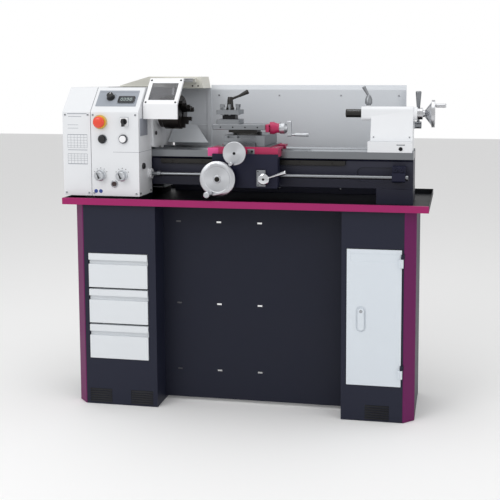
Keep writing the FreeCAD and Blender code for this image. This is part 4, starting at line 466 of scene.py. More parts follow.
def closed_shell(grid: Array) -> tuple[Array, Array]:
    """Points and quads of a closed skin over rings.

    The first and last ring shrink to their own centres, so that both ends are closed.

    Args:
        grid: rings by points by three, in metres.

    Returns:
        Points and faces.
    """
    first, last = grid[:1].mean(1, keepdims=True), grid[-1:].mean(1, keepdims=True)
    rim = grid[:1].shape
    whole = np.concatenate([np.broadcast_to(first, rim), grid, np.broadcast_to(last, rim)])
    points = whole.reshape(-1, 3)
    faces = grid_faces(len(whole), grid.shape[1])
    return merge(points, faces)


def merge(points: Array, faces: Array) -> tuple[Array, Array]:
    """Joins points at one place, and turns collapsed quads into triangles by repeating a corner."""
    keys = np.round(points / (WELD_MM * MM)).astype(np.int64)
    _, first, inverse = np.unique(keys, axis=0, return_index=True, return_inverse=True)
    return points[first], inverse.reshape(-1)[faces]


def as_triangles(faces: Array) -> Array:
    """Splits quads into triangles and drops those with no area."""
    triangles = np.concatenate([faces[:, [0, 1, 2]], faces[:, [0, 2, 3]]])
    a, b, c = triangles.T
    return triangles[(a != b) & (b != c) & (a != c)]


def shell(name: str, grid: Array, finish: Finish, body: str) -> bpy.types.Object:
    """A closed piece over rings of points, in metres."""
    points, faces = closed_shell(grid)
    return mesh_object(name, points, as_triangles(faces), finish, body)


def turned_grid(face: Face, profile: Array, count: int) -> Array:
    """Rings of a turned piece: each profile row is a height out of the face and a radius."""
    ring = circle(1.0, count)
    u, v = profile[:, 1:2] * ring[None, :, 0], profile[:, 1:2] * ring[None, :, 1]
    return face.at(u, v, profile[:, :1])


def turned(
    name: str, face: Face, profile: list[tuple[float, float]], finish: Finish, body: str,
    rounding: float = 0.5, count: int = 40,
) -> bpy.types.Object:
    """A turned piece that stands on a face; its profile runs (out, radius) from foot to tip."""
    return shell(name, turned_grid(face, rounded_profile(profile, rounding), count), finish, body)


def plate_grid(face: Face, outline: Array, height: float, edge: float) -> Array:
    """Rings of a plate: the outline, drawn in by a quarter circle round its top edge."""
    sweep = np.linspace(0, math.pi / 2, 4)
    inward = np.concatenate([[0.0], edge * (1 - np.cos(sweep))])
    out = np.concatenate([[0.0], height - edge + edge * np.sin(sweep)])
    reach = np.linalg.norm(outline, axis=1).max()
    scale = 1 - inward / reach
    uv = outline[None] * scale[:, None, None]
    return face.at(uv[..., 0], uv[..., 1], out[:, None])


def plate(
    name: str, face: Face, outline: Array, height: float, finish: Finish, body: str, edge: float = 0.3
) -> bpy.types.Object:
    """A flat piece of a given outline with a softened rim."""
    return shell(name, plate_grid(face, outline, height, edge), finish, body)


def joined(name: str, grids: list[Array], finish: Finish, body: str) -> bpy.types.Object:
    """Many closed shells as one piece, such as a set of screws."""
    points, faces, start = [], [], 0
    for grid in grids:
        part_points, part_faces = closed_shell(grid)
        points.append(part_points)
        faces.append(as_triangles(part_faces) + start)
        start += len(part_points)
    return mesh_object(name, np.concatenate(points), np.concatenate(faces), finish, body)


def socket_screw_grid(face: Face, radius: float, height: float, socket: float) -> Array:
    """Rings of a cap screw's head with a hexagon socket sunk into it."""
    profile = rounded_profile([(0, radius), (height, radius), (height, socket * 1.15)], 0.4)
    ring = circle(1.0, 24)
    angle = np.arctan2(ring[:, 1], ring[:, 0])
    sector = (angle + math.pi / 6) % (math.pi / 3) - math.pi / 6
    hexagon = ring * (math.cos(math.pi / 6) / np.cos(sector))[:, None]
    body = turned_grid(face, profile, 24)
    rim = face.at(socket * hexagon[:, 0], socket * hexagon[:, 1], np.array(height))
    deep = face.at(socket * hexagon[:, 0], socket * hexagon[:, 1], np.array(height * 0.35))
    return np.concatenate([body, rim[None], deep[None]])


def screws(
    name: str, faces: list[Face], radius: float, height: float, finish: Finish, body: str
) -> bpy.types.Object:
    """A set of socket-head screws as one piece."""
    grids = [socket_screw_grid(face, radius, height, radius * 0.52) for face in faces]
    return joined(name, grids, finish, body)


def tick_grids(face: Face, radius: float, length: float, count: int, long_every: int) -> list[Array]:
    """Graduations engraved round a dial's rim: thin bars that lie on its cylinder."""
    grids = []
    for k in range(count):
        angle = 2 * math.pi * k / count
        reach = length * (1.6 if k % long_every == 0 else 1.0)
        bar = rounded_rectangle(0.5, reach, 0.1, 2)
        u_hat = np.array([math.cos(angle), math.sin(angle)])
        t_hat = np.array([-math.sin(angle), math.cos(angle)])
        uv = u_hat * radius + bar[:, :1] * t_hat
        low = face.at(uv[:, 0], uv[:, 1], bar[:, 1] + length)
        uv_top = uv + u_hat * 0.15
        high = face.at(uv_top[:, 0], uv_top[:, 1], bar[:, 1] + length)
        grids.append(np.stack([low, high]))
    return grids


def dress(node: str, finish: Finish, edge_mm: float = 0.6) -> bpy.types.Object:
    """Gives a CAD node its finish and small rounded edges.

    Args:
        node: the CAD node.
        finish: its material.
        edge_mm: width of the rounding on its sharp edges, or 0 for none.

    Returns:
        The node's object.
    """
    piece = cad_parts[node]
    mesh = piece.data
    mesh.materials.clear()
    mesh.materials.append(finish.build())
    mesh.polygons.foreach_set("material_index", np.zeros(len(mesh.polygons), np.int32))
    if "custom_normal" in mesh.attributes:
        mesh.attributes.remove(mesh.attributes["custom_normal"])
    if edge_mm > 0:
        mesh.shade_smooth()
    else:
        mesh.shade_flat()
    weld = piece.modifiers.new("weld", "WELD")
    weld.merge_threshold = WELD_MM * MM
    flat = piece.modifiers.new("flat", "DECIMATE")
    flat.decimate_type = "DISSOLVE"
    flat.angle_limit = math.radians(0.4)
    if edge_mm > 0:
        bevel = piece.modifiers.new("edge", "BEVEL")
        bevel.width = edge_mm * MM
        bevel.segments = 2
        bevel.limit_method = "ANGLE"
        bevel.angle_limit = SMOOTH_ANGLE
        bevel.harden_normals = True
        bevel.miter_outer = "MITER_ARC"
    log.info("dressed %s with %s", node, finish.name)
    return piece


# ---------------------------------------------------------------- stand
@dataclass
class Stand:
    """Pedestals, kick panel, corner strips and the chip tray."""

    louvre_count: int = 6
    vent_width: float = 84.0
    vent_low: float = 6.0
    vent_high: float = 58.0

    def build(self) -> None:
        """Dresses the sheet metal and adds the louvres."""
        dress("left_pedestal", ANTHRACITE, 0.0)
        dress("right_pedestal", ANTHRACITE, 0.5)
        dress("kick_panel", KICK_DARK, 0.3)
        dress("corner_strips", STRIP_PLUM, 0.5)
        dress("chip_tray", TRAY_BLACK, 0.4)
        dress("tray_front_lip", LIP_MAGENTA, 0.5)
        left_low, left_high = cad("left_pedestal")
        right_low, right_high = cad("right_pedestal")
        chamfer = 36.0
        left_mid = (left_low[0] + chamfer + left_high[0]) / 2
        right_mid = (right_low[0] + right_high[0] - chamfer) / 2
        front = float(left_low[1])
        for name, x in (
            ("left_outer", left_mid - 78), ("left_inner", left_mid + 78), ("right", right_mid + 17)
        ):
            self.louvres("vent_louvres_" + name, x, front)

    def louvres(self, name: str, x: float, front: float) -> None:
        """Slats that slope down and forward across a vent opening."""
        pitch = (self.vent_high - self.vent_low) / self.louvre_count
        grids = []
        for k in range(self.louvre_count):
            z = self.vent_low + pitch * (k + 0.5)
            slat = Face((x, front + 1.0, z), RIGHT, (0.0, 0.6, 0.8))
            grids.append(plate_grid(slat, rounded_rectangle(self.vent_width, pitch * 0.85, 0.5, 3), 0.8, 0.2))
        joined(name, grids, TRAY_BLACK, "stand")


@dataclass
class Storage:
    """Three drawers, and the cabinet door with its latch."""

    def build(self) -> None:
        """Dresses drawers and door, and adds the key cylinder of the latch."""
        for level in ("bottom", "middle", "top"):
            dress("drawer_" + level, DRAWER_GREY, 0.8)
        dress("cabinet_door", DOOR_GREY, 0.8)
        dress("door_latch", DOOR_GREY, 0.0)
        low, high = cad("door_latch")
        x = (low[0] + high[0]) / 2
        key = front_face(x, low[1], high[2] - 11)
        turned(
            "latch_key_cylinder", key, [(-0.5, 5.5), (0.8, 5.5), (0.8, 4.2), (0.3, 4.0)],
            BRIGHT_STEEL, "latch", 0.2,
        )


# ---------------------------------------------------------------- bed
@dataclass
class Bed:
    """Bed casting, feed rack, leadscrew and its bracket."""

    flange_level: float = 899.5
    thread_pitch: float = 3.0
    thread_depth: float = 0.7
    points_per_turn: int = 10

    def build(self) -> None:
        """Dresses the bed and cuts the leadscrew's thread."""
        ways = TwoZoneFinish("bed_paint_and_ground_ways", CAST_DARK, GROUND_STEEL, self.flange_level)
        dress("bed", ways, 0.8)
        dress("feed_rack", DARK_STEEL, 0.3)
        dress("leadscrew_bracket", CAST_DARK, 0.6)
        dress("leadscrew", GROUND_STEEL, 0.3)
        self.thread()

    def thread(self) -> None:
        """Trapezoidal thread on the leadscrew.

        A grid of stations along the screw by angles round it. The radius is the outer radius less
        a clipped triangle wave of (angle over a full turn minus station over the pitch).
        """
        low, high = cad("leadscrew")
        centre_y, centre_z = (low[1] + high[1]) / 2, (low[2] + high[2]) / 2
        start, end = -318.0, 512.0
        stations = np.arange(start, end, self.thread_pitch / 6)
        angle = np.linspace(0, 2 * math.pi, self.points_per_turn, endpoint=False)
        phase = (stations[:, None] / self.thread_pitch - angle[None] / (2 * math.pi)) % 1
        wave = np.clip(np.abs(phase - 0.5) * 4 - 0.5, 0, 1)
        radius = 7.12 - self.thread_depth * wave
        grid = np.stack(
            [
                np.broadcast_to(stations[:, None], radius.shape),
                centre_y + radius * np.cos(angle),
                centre_z + radius * np.sin(angle),
            ],
            -1,
        )
        shell("leadscrew_thread", grid * MM, GROUND_STEEL, "leadscrew")


# ---------------------------------------------------------------- headstock
@dataclass
class Headstock:
    """Sheet-metal covers over the gearbox casting, and everything on the operator's panel."""

    seam_level: float = 924.0
    digit_height: float = 11.0
    chart_columns: int = 6
    right_wall: float = -370.0

    def __post_init__(self) -> None:
        """Works out the panel's planes from the cover."""
        low, high = cad("headstock_cover")
        self.low, self.high = low, high
        self.front = float(low[1])
        self.panel = front_face(0.0, self.front, 0.0)
        fold = (self.front, 1067.0)
        top = (-132.0, float(high[2]))
        slope = np.array([top[0] - fold[0], top[1] - fold[1]])
        slope = slope / np.linalg.norm(slope)
        self.slant = Face((0.0, *fold), RIGHT, (0.0, *slope.tolist()))

    def build(self) -> None:
        """Dresses the covers and fits the panel."""
        dress("headstock_cover", HEAD_WHITE, 0.5)
        dress("gear_cover", HEAD_WHITE, 0.5)
        dress("headstock_casting", CAST_WHITE, 0.6)
        dress("control_fittings", PANEL_SILVER, 0.3)
        self.mat()
        self.buttons()
        self.knobs()
        self.display()
        self.chart()
        self.seams()
        self.side()

    def mat(self) -> None:
        """Ribbed rubber mat in the recess on top."""
        width, depth = 138.0, 176.0
        face = top_face(-459.0, -23.0, float(self.high[2]) - 2.0)
        plate("rubber_mat", face, rounded_rectangle(width, depth, 5), 2.4, RUBBER, "stand", 0.6)
        ribs = [
            plate_grid(face.moved(0, v, 2.2), rounded_rectangle(width - 12, 2.4, 1.1, 3), 1.0, 0.4)
            for v in np.arange(-80, 81, 8.0)
        ]
        joined("rubber_mat_ribs", ribs, RUBBER, "stand")

    def buttons(self) -> None:
        """Caps and rings of the emergency stop, start and stop buttons and the switch."""
        dress("emergency_stop_button", RED_CAP, 0.8)
        dress("start_button", BLACK_PLASTIC, 0.4)
        dress("stop_button", WHITE_CAP, 0.4)
        dress("direction_switch", BLACK_PLASTIC, 0.4)
        x, _, z = middle("emergency_stop_button")
        collar = self.panel.moved(x, z, 0.0)
        profile = [(0.0, 25.7), (5.2, 25.7), (6.2, 23.5), (6.2, 12.0)]
        turned("estop_yellow_collar", collar, profile, YELLOW_RING, "stand", 0.8)
        rings = []
        for node in ("start_button", "stop_button"):
            x, _, z = middle(node)
            rim = rounded_profile([(0, 16.3), (4.0, 16.3), (5.3, 14.8), (5.3, 12.5), (4.4, 12.4)], 0.5)
            ring = turned_grid(self.panel.moved(x, z, 0.0), rim, 40)
            rings.append(ring)
        joined("button_rings", rings, BLACK_PLASTIC, "stand")
        x, _, z = middle("direction_switch")
        face = self.panel.moved(x, z + 2, 2.5)
        plate("switch_label", face, rounded_rectangle(29, 31, 2), 0.3, WHITE_CAP, "stand", 0.1)

    def knobs(self) -> None:
        """Pointers, scale dots and the sight glass."""
        for name, body in (("feed_knob_left", "feed_left"), ("feed_knob_right", "feed_right")):
            dress(name, Finish(
                "turned_aluminium_" + name, "#C4C7CB", 0.28, 1.0, Grain.TURNED, 1.2, 0.006, 0.12,
                centre_mm=tuple(middle(name).tolist()),
            ), 0.6)
            x, _, z = middle(name)
            lean = math.radians(25)
            wedge = Face(
                (x, float(cad(name)[0][1]) - 0.1, z), (math.cos(lean), 0.0, math.sin(lean)),
                (-math.sin(lean), 0.0, math.cos(lean)),
            )
            outline = np.array([[-3.5, -10.0], [3.5, -10.0], [0.8, 12.0], [-0.8, 12.0]])
            plate(name + "_pointer", wedge, outline, 0.6, BLACK_PLASTIC, body, 0.2)
            self.scale(name + "_scale", self.panel.moved(x, z, 0), 26.5, 5, 1.5)
        dress("speed_knob", BLACK_PLASTIC, 0.6)
        hub = self.slant.moved(-487.0, 66.0, 1.2)
        self.scale("speed_scale", hub, 20.0, 9, 1.1)
        pointer = hub.moved(0, 6.5, 16.9)
        plate("speed_knob_line", pointer, rounded_rectangle(1.6, 8, 0.6, 3), 0.4, WHITE_CAP, "speed", 0.1)
        glass = self.panel.moved(-463.0, 810.0)
        turned("sight_glass_ring", glass, [(0, 13), (3, 13), (4, 11), (3.4, 9.2)], BRIGHT_STEEL, "stand")
        lens = [(0, 9.4), (0.8, 8), (1.2, 0.5)]
        turned("sight_glass_lens", glass.moved(0, 0, 3.3), lens, OIL_GLASS, "stand")
        for k, x in enumerate((-533.0, -515.0)):
            disc = self.panel.moved(x, 783.0)
            plate(f"round_symbol_{k}", disc, circle(7.0, 28), 0.35, BLUE_DISC, "stand", 0.1)

    def scale(self, name: str, face: Face, radius: float, count: int, dot: float) -> None:
        """Printed dots in an arc above a knob."""
        angle = np.radians(np.linspace(150, 30, count))
        grids = [
            plate_grid(face.moved(radius * math.cos(a), radius * math.sin(a)), circle(dot, 12), 0.25, 0.05)
            for a in angle
        ]
        joined(name, grids, BLACK_PLASTIC, "stand")

    def display(self) -> None:
        """Screen with four seven-segment zeros, a dark frame and a grey stripe."""
        frame_face = self.slant.moved(-426.0, 55.5, 1.2)
        rim = rounded_rectangle(62, 31, 3)
        plate("display_frame", frame_face, rim, 4.0, BLACK_PLASTIC, "stand", 0.8)
        screen = frame_face.moved(0, 0, 4.0)
        plate("display_screen", screen, rounded_rectangle(50, 19, 1), 0.4, SCREEN, "stand", 0.1)
        height = self.digit_height
        bars = []
        for k in range(4):
            centre = screen.moved(-16.5 + 11 * k, 0, 0.4)
            for u, v, tall in (
                (0, height / 2, False), (0, -height / 2, False), (-3, height / 4, True),
                (3, height / 4, True), (-3, -height / 4, True), (3, -height / 4, True),
            ):
                size = (1.1, height / 2 - 1.2) if tall else (4.6, 1.1)
                bars.append(plate_grid(centre.moved(u, v), rounded_rectangle(*size, 0.4, 3), 0.2, 0.05))
        joined("display_digits", bars, SCREEN_INK, "stand")
        stripe = self.slant.moved(-461.5, 93.0, 1.2)
        plate("display_plate_stripe", stripe, rounded_rectangle(140, 5, 1), 0.2, LABEL_GREY, "stand", 0.05)

    def chart(self) -> None:
        """Blank change-gear chart on the end cover: ruled lines and empty cells, no wording."""
        face = self.panel.moved(-600.0, 0.0)
        lines = [(0, 1060, 74, 2.5), (-8, 1050, 50, 1.5), (-16, 1020, 40, 1.2), (-16, 1008, 40, 1.2)]
        lines += [(0, 985, 74, 2.0), (0, 930, 74, 2.0), (0, 916, 74, 1.2), (0, 880, 74, 2.5)]
        lines += [(0, z, 74, 0.8) for z in (975, 965, 955, 945, 938, 908, 900, 892)]
        grids = [
            plate_grid(face.moved(u, z), rounded_rectangle(w, h, h * 0.3, 2), 0.25, 0.05)
            for u, z, w, h in lines
        ]
        columns = np.linspace(-37, 37, self.chart_columns + 1)
        for u in columns:
            for low, high in ((938, 985), (880, 916)):
                cell = face.moved(float(u), (low + high) / 2)
                grids.append(plate_grid(cell, rounded_rectangle(0.8, high - low, 0.2, 2), 0.25, 0.05))
        joined("gear_chart_lines", grids, LABEL_GREY, "end_cover")

    def seams(self) -> None:
        """Shadow line between the upper and lower cover, and the panel's fixing screws."""
        x_low, x_high = -470.0, float(self.high[0])
        mid = (x_low + x_high) / 2
        seam = self.panel.moved(mid, self.seam_level)
        line = rounded_rectangle(x_high - x_low - 8, 1.2, 0.4, 2)
        plate("cover_seam", seam, line, 0.2, LABEL_GREY, "stand", 0.05)
        places = [(-540, 1056), (-381, 1056), (-540, 776), (-381, 776)]
        faces = [self.panel.moved(x, z) for x, z in places]
        screws("panel_screws", faces, 3.6, 1.8, BRIGHT_STEEL, "stand")
        end = [self.panel.moved(x, z) for x, z in ((-645, 1056), (-559, 1056), (-645, 776), (-559, 776))]
        screws("end_cover_screws", end, 3.6, 1.8, BRIGHT_STEEL, "end_cover")

    def side(self) -> None:
        """Dark plate, knob and screws on the end of the cover that faces the chuck."""
        wall = end_face(self.right_wall, 0.0, 0.0)
        plate(
            "side_plate_dark", wall.moved(-159, 1012, 1.5), rounded_rectangle(74, 60, 2), 0.6, LABEL_GREY,
            "stand", 0.2,
        )
        knob = wall.moved(-171, 872)
        turned("side_selector", knob, [(0, 11), (6, 11), (8, 9), (8, 3)], BLACK_PLASTIC, "stand", 0.8)
        plate(
            "side_seam", wall.moved(-142, self.seam_level), rounded_rectangle(126, 1.2, 0.4, 2), 0.2,
            LABEL_GREY, "stand", 0.05,
        )
        screws("side_screws", [wall.moved(-200, 776), wall.moved(-90, 776)], 3.6, 2.0, SCREW_BLACK, "stand")


# ---------------------------------------------------------------- spindle line
@dataclass
class SpindleLine:
    """Spindle, chuck, jaws and the drive inside the covers."""

    socket_size: float = 9.0

    def build(self) -> None:
        """Dresses the spindle line and fits the chuck's sockets and screws."""
        low, high = cad("chuck_body")
        axis_z = float((low[2] + high[2]) / 2)
        chuck = Finish(
            "turned_black_oxide", "#3B3735", 0.34, 0.9, Grain.TURNED, 1.5, 0.008, 0.2,
            axis=RIGHT, centre_mm=(0.0, 0.0, axis_z),
        )
        dress("chuck_body", chuck, 0.5)
        dress("spindle", GROUND_STEEL, 0.4)
        for n in (1, 2, 3):
            dress(f"chuck_jaw_{n}", BLACK_OXIDE, 0.6)
        for node in ("idler_gear", "leadscrew_gear", "spindle_drive_wheels", "gear_banjo"):
            dress(node, IRON_GREY, 0.0)
        dress("motor_pulley", MILLED_STEEL, 0.3)
        dress("drive_belt", RUBBER, 0.4)
        dress("drive_motor", ANTHRACITE, 0.6)
        dress("spindle_bearings", BRIGHT_STEEL, 0.3)
        radius = float(high[2] - low[2]) / 2
        middle = float(low[0] + high[0]) / 2 + 6
        sockets, bolts = [], []
        for n in range(3):
            angle = math.radians(50 + 120 * n + 60)
            out = (0.0, -math.sin(angle), math.cos(angle))
            across = (0.0, -math.cos(angle), -math.sin(angle))
            face = Face((middle, out[1] * radius, axis_z + out[2] * radius), RIGHT, across)
            if np.cross(face.right, face.up) @ np.array(out) < 0:
                face = Face(face.origin, face.up, face.right)
            rim = rounded_rectangle(self.socket_size + 6, self.socket_size + 6, 7.4, 6)
            hole = rounded_rectangle(self.socket_size, self.socket_size, 0.6, 6)
            rings = [(rim, -1.5), (rim, 0.3), (rim * 0.94, 0.6), (hole, 0.5), (hole, -1.2)]
            sockets.append(np.stack([face.at(r[:, 0], r[:, 1], np.array(h)) for r, h in rings]))
            bolt = end_face(float(high[0]) - 0.1, out[1] * 46, axis_z + out[2] * 46)
            bolts.append(bolt)
        joined("chuck_key_sockets", sockets, BLACK_OXIDE, "spindle")
        screws("chuck_face_bolts", bolts, 4.6, 1.2, SCREW_BLACK, "spindle")


# ---------------------------------------------------------------- guards
@dataclass
class Guards:
    """Chuck guard with its window, rear hood and splash guard, whose lower part is painted dark as painted
    shade under the bed.
    """

    screw_radius: float = 3.4
    # Height below which the splash guard is painted blue-black: painted shade where the bed shadows it.
    painted_shade_level: float = 850.0

    def build(self) -> None:
        """Dresses the guards and adds their fixings."""
        dress("chuck_guard", GUARD_WHITE, 0.4)
        dress("guard_window", GUARD_WINDOW, 0.0)
        dress("rear_hood", HOOD_WHITE, 0.5)
        # Painted shade: blue-black below the level, grey sheet paint above it.
        shade_and_sheet_paint = TwoZoneFinish("splash_painted_shade_and_sheet", CAST_DARK, SPLASH_GREY, self.painted_shade_level)
        dress("splash_guard", shade_and_sheet_paint, 0.3)
        low, high = cad("chuck_guard")
        fold = (-172.0, 1094.0)
        top = (-85.0, 1186.0)
        slope = np.array([top[0] - fold[0], top[1] - fold[1]])
        length = float(np.linalg.norm(slope))
        face = Face((0.0, *fold), RIGHT, (0.0, *(slope / length).tolist()))
        left, right = float(low[0]) + 8, float(high[0]) - 8
        places = [face.moved(x, v, 0) for x in (left, right) for v in (9, length - 11)]
        screws("guard_window_screws", places, self.screw_radius, 1.6, BLACK_OXIDE, "guard")
        front = front_face(0, float(cad("rear_hood")[0][1]), 0)
        on_hood = [front.moved(x, 1157) for x in (-250.0, -228.0)]
        screws("hood_screws", on_hood, 3.0, 1.5, BLACK_OXIDE, "stand")
        sheet = front_face(0, 186.3, 0)
        rows = [sheet.moved(x, z) for x in (-180.0, 60.0, 300.0, 520.0) for z in (1120.0, 760.0)]
        screws("splash_screws", rows, 3.2, 1.4, BRIGHT_STEEL, "stand")
        plug = end_face(-355.6, -66.0, 985.0)
        turned("casting_plug", plug, [(0, 7.5), (2.5, 7.5), (3.5, 6), (3.0, 3.4)], SCREW_BLACK, "stand", 0.4)


# ---------------------------------------------------------------- carriage
@dataclass
class Carriage:
    """Saddle, apron, their handwheels and the half-nut lever."""

    dial_marks: int = 60

    def build(self) -> None:
        """Dresses the carriage and adds dials, oilers and the lever's plate."""
        deck = TwoZoneFinish("saddle_paint_and_ground_deck", CAST_CRIMSON, GROUND_STEEL, 943.2)
        dress("saddle", deck, 0.8)
        dress("apron", CAST_DARK, 0.8)
        dress("half_nut_lever", CHROME, 0.4)
        self.wheel("carriage_handwheel", "carriage_wheel", (-89.0, -195.0, 832.0))
        self.wheel("cross_handwheel", "cross_wheel", (-18.0, -232.0, 927.0))
        hub = front_face(-89.0, -198.0, 832.0)
        profile = [(0, 9.0), (2.6, 9.0), (3.2, 8.2), (3.2, 4.6)]
        turned("carriage_wheel_washer", hub, profile, DARK_STEEL, "carriage_wheel", 0.4)
        screws("carriage_wheel_bolt", [hub.moved(0, 0, 2.8)], 5.2, 2.6, BLACK_OXIDE, "carriage_wheel")
        centre = front_face(-18.0, -232.0, 927.0)
        screws("cross_wheel_bolt", [centre], 5.0, 2.2, SCREW_BLACK, "cross_wheel")
        dial = Face((-18.0, -157.0, 927.0), RIGHT, UP)
        marks = tick_grids(dial, 22.0, 3.0, self.dial_marks, 5)
        joined("cross_dial_marks", marks, BLACK_PLASTIC, "cross_wheel")
        plate_face = front_face(60.5, -156.0, 834.0)
        outline = rounded_rectangle(32, 58, 1.5)
        plate("half_nut_plate", plate_face, outline, 0.6, MILLED_STEEL, "carriage", 0.2)
        screws(
            "half_nut_plate_screws", [plate_face.moved(-11, v, 0.6) for v in (-24.0, 24.0)], 2.2, 1.0,
            SCREW_BLACK, "carriage",
        )
        screws("half_nut_bolt", [front_face(72.0, -174.3, 832.0)], 4.5, 1.8, BLACK_OXIDE, "half_nut")
        oilers = [top_face(x, y, 940.2) for x in (-128.0, 106.0) for y in (-120.0, 70.0)]
        cup = rounded_profile([(0, 4), (1.2, 4), (1.6, 3), (1.0, 1)], 0.3)
        grids = [turned_grid(oiler, cup, 20) for oiler in oilers]
        joined("saddle_oilers", grids, BRIGHT_STEEL, "carriage")
        wing = front_face(-119.0, -136.2, 924.0)
        pad = front_face(19.5, -136.1, 924.0)
        plate("saddle_gib_pad", pad, rounded_rectangle(27, 24, 1), 1.0, MILLED_STEEL, "carriage", 0.2)
        screws("saddle_gib_screw", [front_face(24.0, -137.0, 927.0)], 4.0, 2.0, SCREW_BLACK, "carriage")
        # Lighter pink patch over the saddle's left wing: painted highlight on the crimson casting paint.
        plate("saddle_left_wing_highlight", wing, rounded_rectangle(39, 30, 1.0), 0.3, SADDLE_HIGHLIGHT_PINK, "carriage", 0.1)

    def wheel(self, node: str, body: str, centre: tuple[float, float, float]) -> None:
        """Dresses a handwheel as turned aluminium about its own centre."""
        rim = Finish(
            "turned_aluminium_" + node, "#C9CBCF", 0.3, 1.0, Grain.TURNED, 1.0, 0.006, 0.1,
            centre_mm=centre,
        )
        dress(node, rim, 0.6)


# Crimson casting paint lightened to pink: a painted highlight, used on the saddle's left wing.
SADDLE_HIGHLIGHT_PINK = Finish(
    "painted_highlight_pink", "#DB4A8D", 0.4, grain=Grain.CAST, size_mm=5, depth_mm=0.04, spread=0.04
)


@dataclass
class Slides:
    """Cross slide, swivelling compound, top slide and tool post."""

    gib_screws: int = 4

    def build(self) -> None:
        """Dresses the slides and adds gib screws and graduations."""
        dress("cross_slide", MILLED_STEEL, 0.6)
        dress("compound_swivel", DARK_STEEL, 0.4)
        dress("top_slide", MILLED_STEEL, 0.5)
        dress("crank_bearing", CAST_CRIMSON, 0.6)
        dress("tool_post", MILLED_STEEL, 0.5)
        dress("tool_post_lever", DARK_STEEL, 0.5)
        core = top_face(POST_X, POST_Y, 1038.5)
        plate("tool_post_core_skin", core, rounded_rectangle(47, 47, 1), 17.3, SCREW_BLACK, "post", 0.1)
        axis_z = 1006.9
        dial = Finish(
            "turned_steel_dial", "#B9BCC0", 0.3, 1.0, Grain.TURNED, 0.8, 0.005, 0.12,
            axis=RIGHT, centre_mm=(0.0, POST_Y, axis_z),
        )
        dress("top_slide_crank", dial, 0.5)
        dial_face = end_face(110.4, POST_Y, axis_z)
        joined("crank_dial_marks", tick_grids(dial_face, 20.0, 3.0, 60, 5), BLACK_PLASTIC, "crank")
        left = Face((float(cad("cross_slide")[0][0]), 0, 0), FRONT, UP)
        spots = [left.moved(-y, 960.0) for y in np.linspace(-90, 80, self.gib_screws)]
        screws("cross_gib_screws", spots, 3.2, 1.6, SCREW_BLACK, "cross")
        gib = front_face(0, float(cad("top_slide")[0][1]), 0)
        spots = [gib.moved(x, 1010.5) for x in np.linspace(-100, 36, self.gib_screws)]
        screws("top_gib_screws", spots, 2.6, 1.2, SCREW_BLACK, "top")
        swivel = top_face(-10.0, POST_Y, 983.0)
        joined("swivel_marks", tick_grids(swivel, 52.0, 2.4, 72, 6), BRIGHT_STEEL, "compound")
        screws(
            "bearing_screws", [end_face(76.0, y, z) for y in (-88.0, -30.0) for z in (998.0, 1015.0)], 3.0,
            2.4, SCREW_BLACK, "top",
        )


@dataclass
class Tailstock:
    """Tailstock body, quill, levers and handwheel."""

    def build(self) -> None:
        """Dresses the tailstock and adds its small fixings and graduations."""
        dress("tailstock", CAST_WHITE, 1.0)
        dress("quill", DARK_STEEL, 0.4)
        dress("quill_lock_lever", MILLED_STEEL, 0.4)
        dress("tailstock_clamp_lever", MILLED_STEEL, 0.4)
        wheel = Finish(
            "turned_chrome_tail_wheel", "#C6C7CA", 0.2, 1.0, Grain.TURNED, 1.0, 0.004, 0.1,
            axis=RIGHT, centre_mm=(0.0, 0.0, SPINDLE_Z),
        )
        dress("tailstock_handwheel", wheel, 0.5)
        base = front_face(0, -74.0, 0)
        screws("set_over_screw", [base.moved(545.0, 938.0)], 7.0, 2.0, SCREW_BLACK, "tail")
        scale = base.moved(545.0, 952.0)
        plate("set_over_scale", scale, rounded_rectangle(30, 4, 1), 0.4, BRIGHT_STEEL, "tail", 0.1)
        body = front_face(0, -50.0, 0)
        spots = [body.moved(x, 978.0) for x in (447.0, 574.0)]
        screws("tail_body_screws", spots, 2.8, 1.4, BRIGHT_STEEL, "tail")
        dial = end_face(602.0, 0.0, SPINDLE_Z)
        joined("tail_dial_marks", tick_grids(dial, 21.0, 3.0, 50, 5), BLACK_PLASTIC, "tail_wheel")
        marks = []
        for k in range(12):
            ring_x = 350.0 + 4 * k
            reach = 5.0 if k % 5 else 8.0
            mark = Face((ring_x, -10.6, 1070.6), RIGHT, (0.0, math.sqrt(0.5), math.sqrt(0.5)))
            marks.append(plate_grid(mark, rounded_rectangle(0.6, reach, 0.2, 2), 0.2, 0.05))
        joined("quill_graduations", marks, BRIGHT_STEEL, "quill")
        nut = end_face(661.5, 0.0, SPINDLE_Z)
        profile = [(-9, 10), (-4, 10), (-3, 8), (-3.4, 4)]
        turned("tail_wheel_nut", nut, profile, BRIGHT_STEEL, "tail_wheel", 0.6)


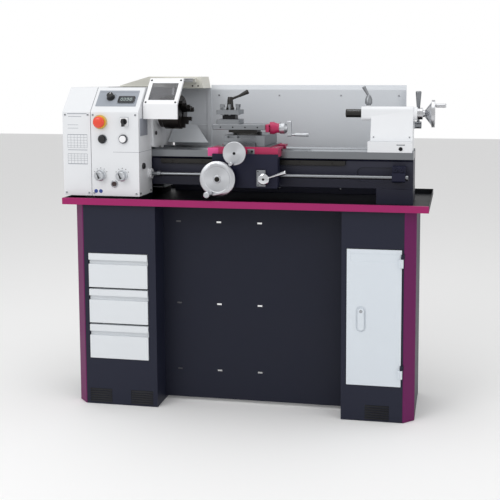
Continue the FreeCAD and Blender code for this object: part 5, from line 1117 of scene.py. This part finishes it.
# ---------------------------------------------------------------- studio
@dataclass
class Studio:
    """Pale floor, soft lights and the camera, none of it part of the lathe."""

    camera_at: tuple[float, float, float] = (744.5, -3300.0, 1186.3)
    look_left: float = 0.1780
    look_down: float = 0.1000
    lens: float = 65.93
    shift: tuple[float, float] = (-0.088, -0.16)
    floor_size: float = 30.0
    surround: float = 0.72
    backdrop: float = 1.0

    def build(self) -> None:
        """Builds the floor, the lights and the camera."""
        self.floor()
        self.lights()
        self.camera()

    def floor(self) -> None:
        """A wide pale floor, a millimetre under the pedestals."""
        half = self.floor_size / 2
        u = np.array([-half, half, half, -half])
        v = np.array([-half, -half, half, half])
        points = np.stack([u, v, np.full(4, -0.001)], 1)
        mesh = bpy.data.meshes.new("studio_floor")
        mesh.from_pydata(points.tolist(), [], [[0, 1, 2, 3]])
        mesh.materials.append(Finish("studio_floor_white", "#F7F7F7", 0.7).build())
        floor = bpy.data.objects.new("studio_floor", mesh)
        bpy.context.scene.collection.objects.link(floor)

    def lights(self) -> None:
        """Large area lights in a soft surround, with a white backdrop for the camera."""
        world = bpy.data.worlds.new("studio_world")
        world.use_nodes = True
        tree = world.node_tree
        white = (1.0, 1.0, 1.0, 1.0)
        light = tree.nodes["Background"]
        light.inputs["Color"].default_value = white
        light.inputs["Strength"].default_value = self.surround
        backdrop = add_node(
            tree, "ShaderNodeBackground", {"Color": white, "Strength": self.backdrop}, {}
        )
        seen = add_node(tree, "ShaderNodeLightPath", {}, {}).outputs["Is Camera Ray"]
        sockets = {0: seen, 1: light.outputs[0], 2: backdrop.outputs[0]}
        mixed = add_node(tree, "ShaderNodeMixShader", {}, sockets)
        tree.links.new(mixed.outputs[0], tree.nodes["World Output"].inputs[0])
        bpy.context.scene.world = world
        bpy.context.scene.view_settings.view_transform = "Standard"
        self.area("key_light", (-1.9, -3.0, 3.1), (0.0, -0.1, 0.7), 2.4, 46.0)
        self.area("fill_light", (3.0, -2.2, 2.0), (0.1, 0.0, 0.7), 2.2, 12.0)
        self.area("top_light", (0.2, -0.3, 3.6), (0.0, 0.0, 0.9), 2.6, 26.0)

    def area(
        self, name: str, place: tuple[float, float, float], target: tuple[float, float, float],
        size: float, power: float,
    ) -> None:
        """Adds one square area light that points at a target."""
        light = bpy.data.lights.new(name, "AREA")
        light.size = size
        light.energy = power
        holder = bpy.data.objects.new(name, light)
        way = np.array(target) - np.array(place)
        flat = math.hypot(way[0], way[1])
        holder.location = place
        holder.rotation_euler = (math.atan2(flat, -way[2]), 0.0, math.atan2(-way[0], way[1]))
        bpy.context.scene.collection.objects.link(holder)

    def camera(self) -> None:
        """Sets the camera at standing height, a little to the right."""
        data = bpy.data.cameras.new("camera")
        data.lens = self.lens
        data.sensor_width = 36.0
        data.shift_x, data.shift_y = self.shift
        camera = bpy.data.objects.new("camera", data)
        camera.location = tuple(c * MM for c in self.camera_at)
        camera.rotation_euler = (math.pi / 2 - self.look_down, 0.0, self.look_left)
        bpy.context.scene.collection.objects.link(camera)
        bpy.context.scene.camera = camera


def main() -> None:
    """Builds every sub-assembly in order."""
    logging.basicConfig(level=logging.INFO, format="%(message)s")
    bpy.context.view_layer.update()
    for assembly in (
        Stand(), Storage(), Bed(), Headstock(), SpindleLine(), Guards(), Carriage(), Slides(), Tailstock(),
        Studio(),
    ):
        log.info("building %s", type(assembly).__name__)
        assembly.build()


if __name__ == "__main__":
    main()
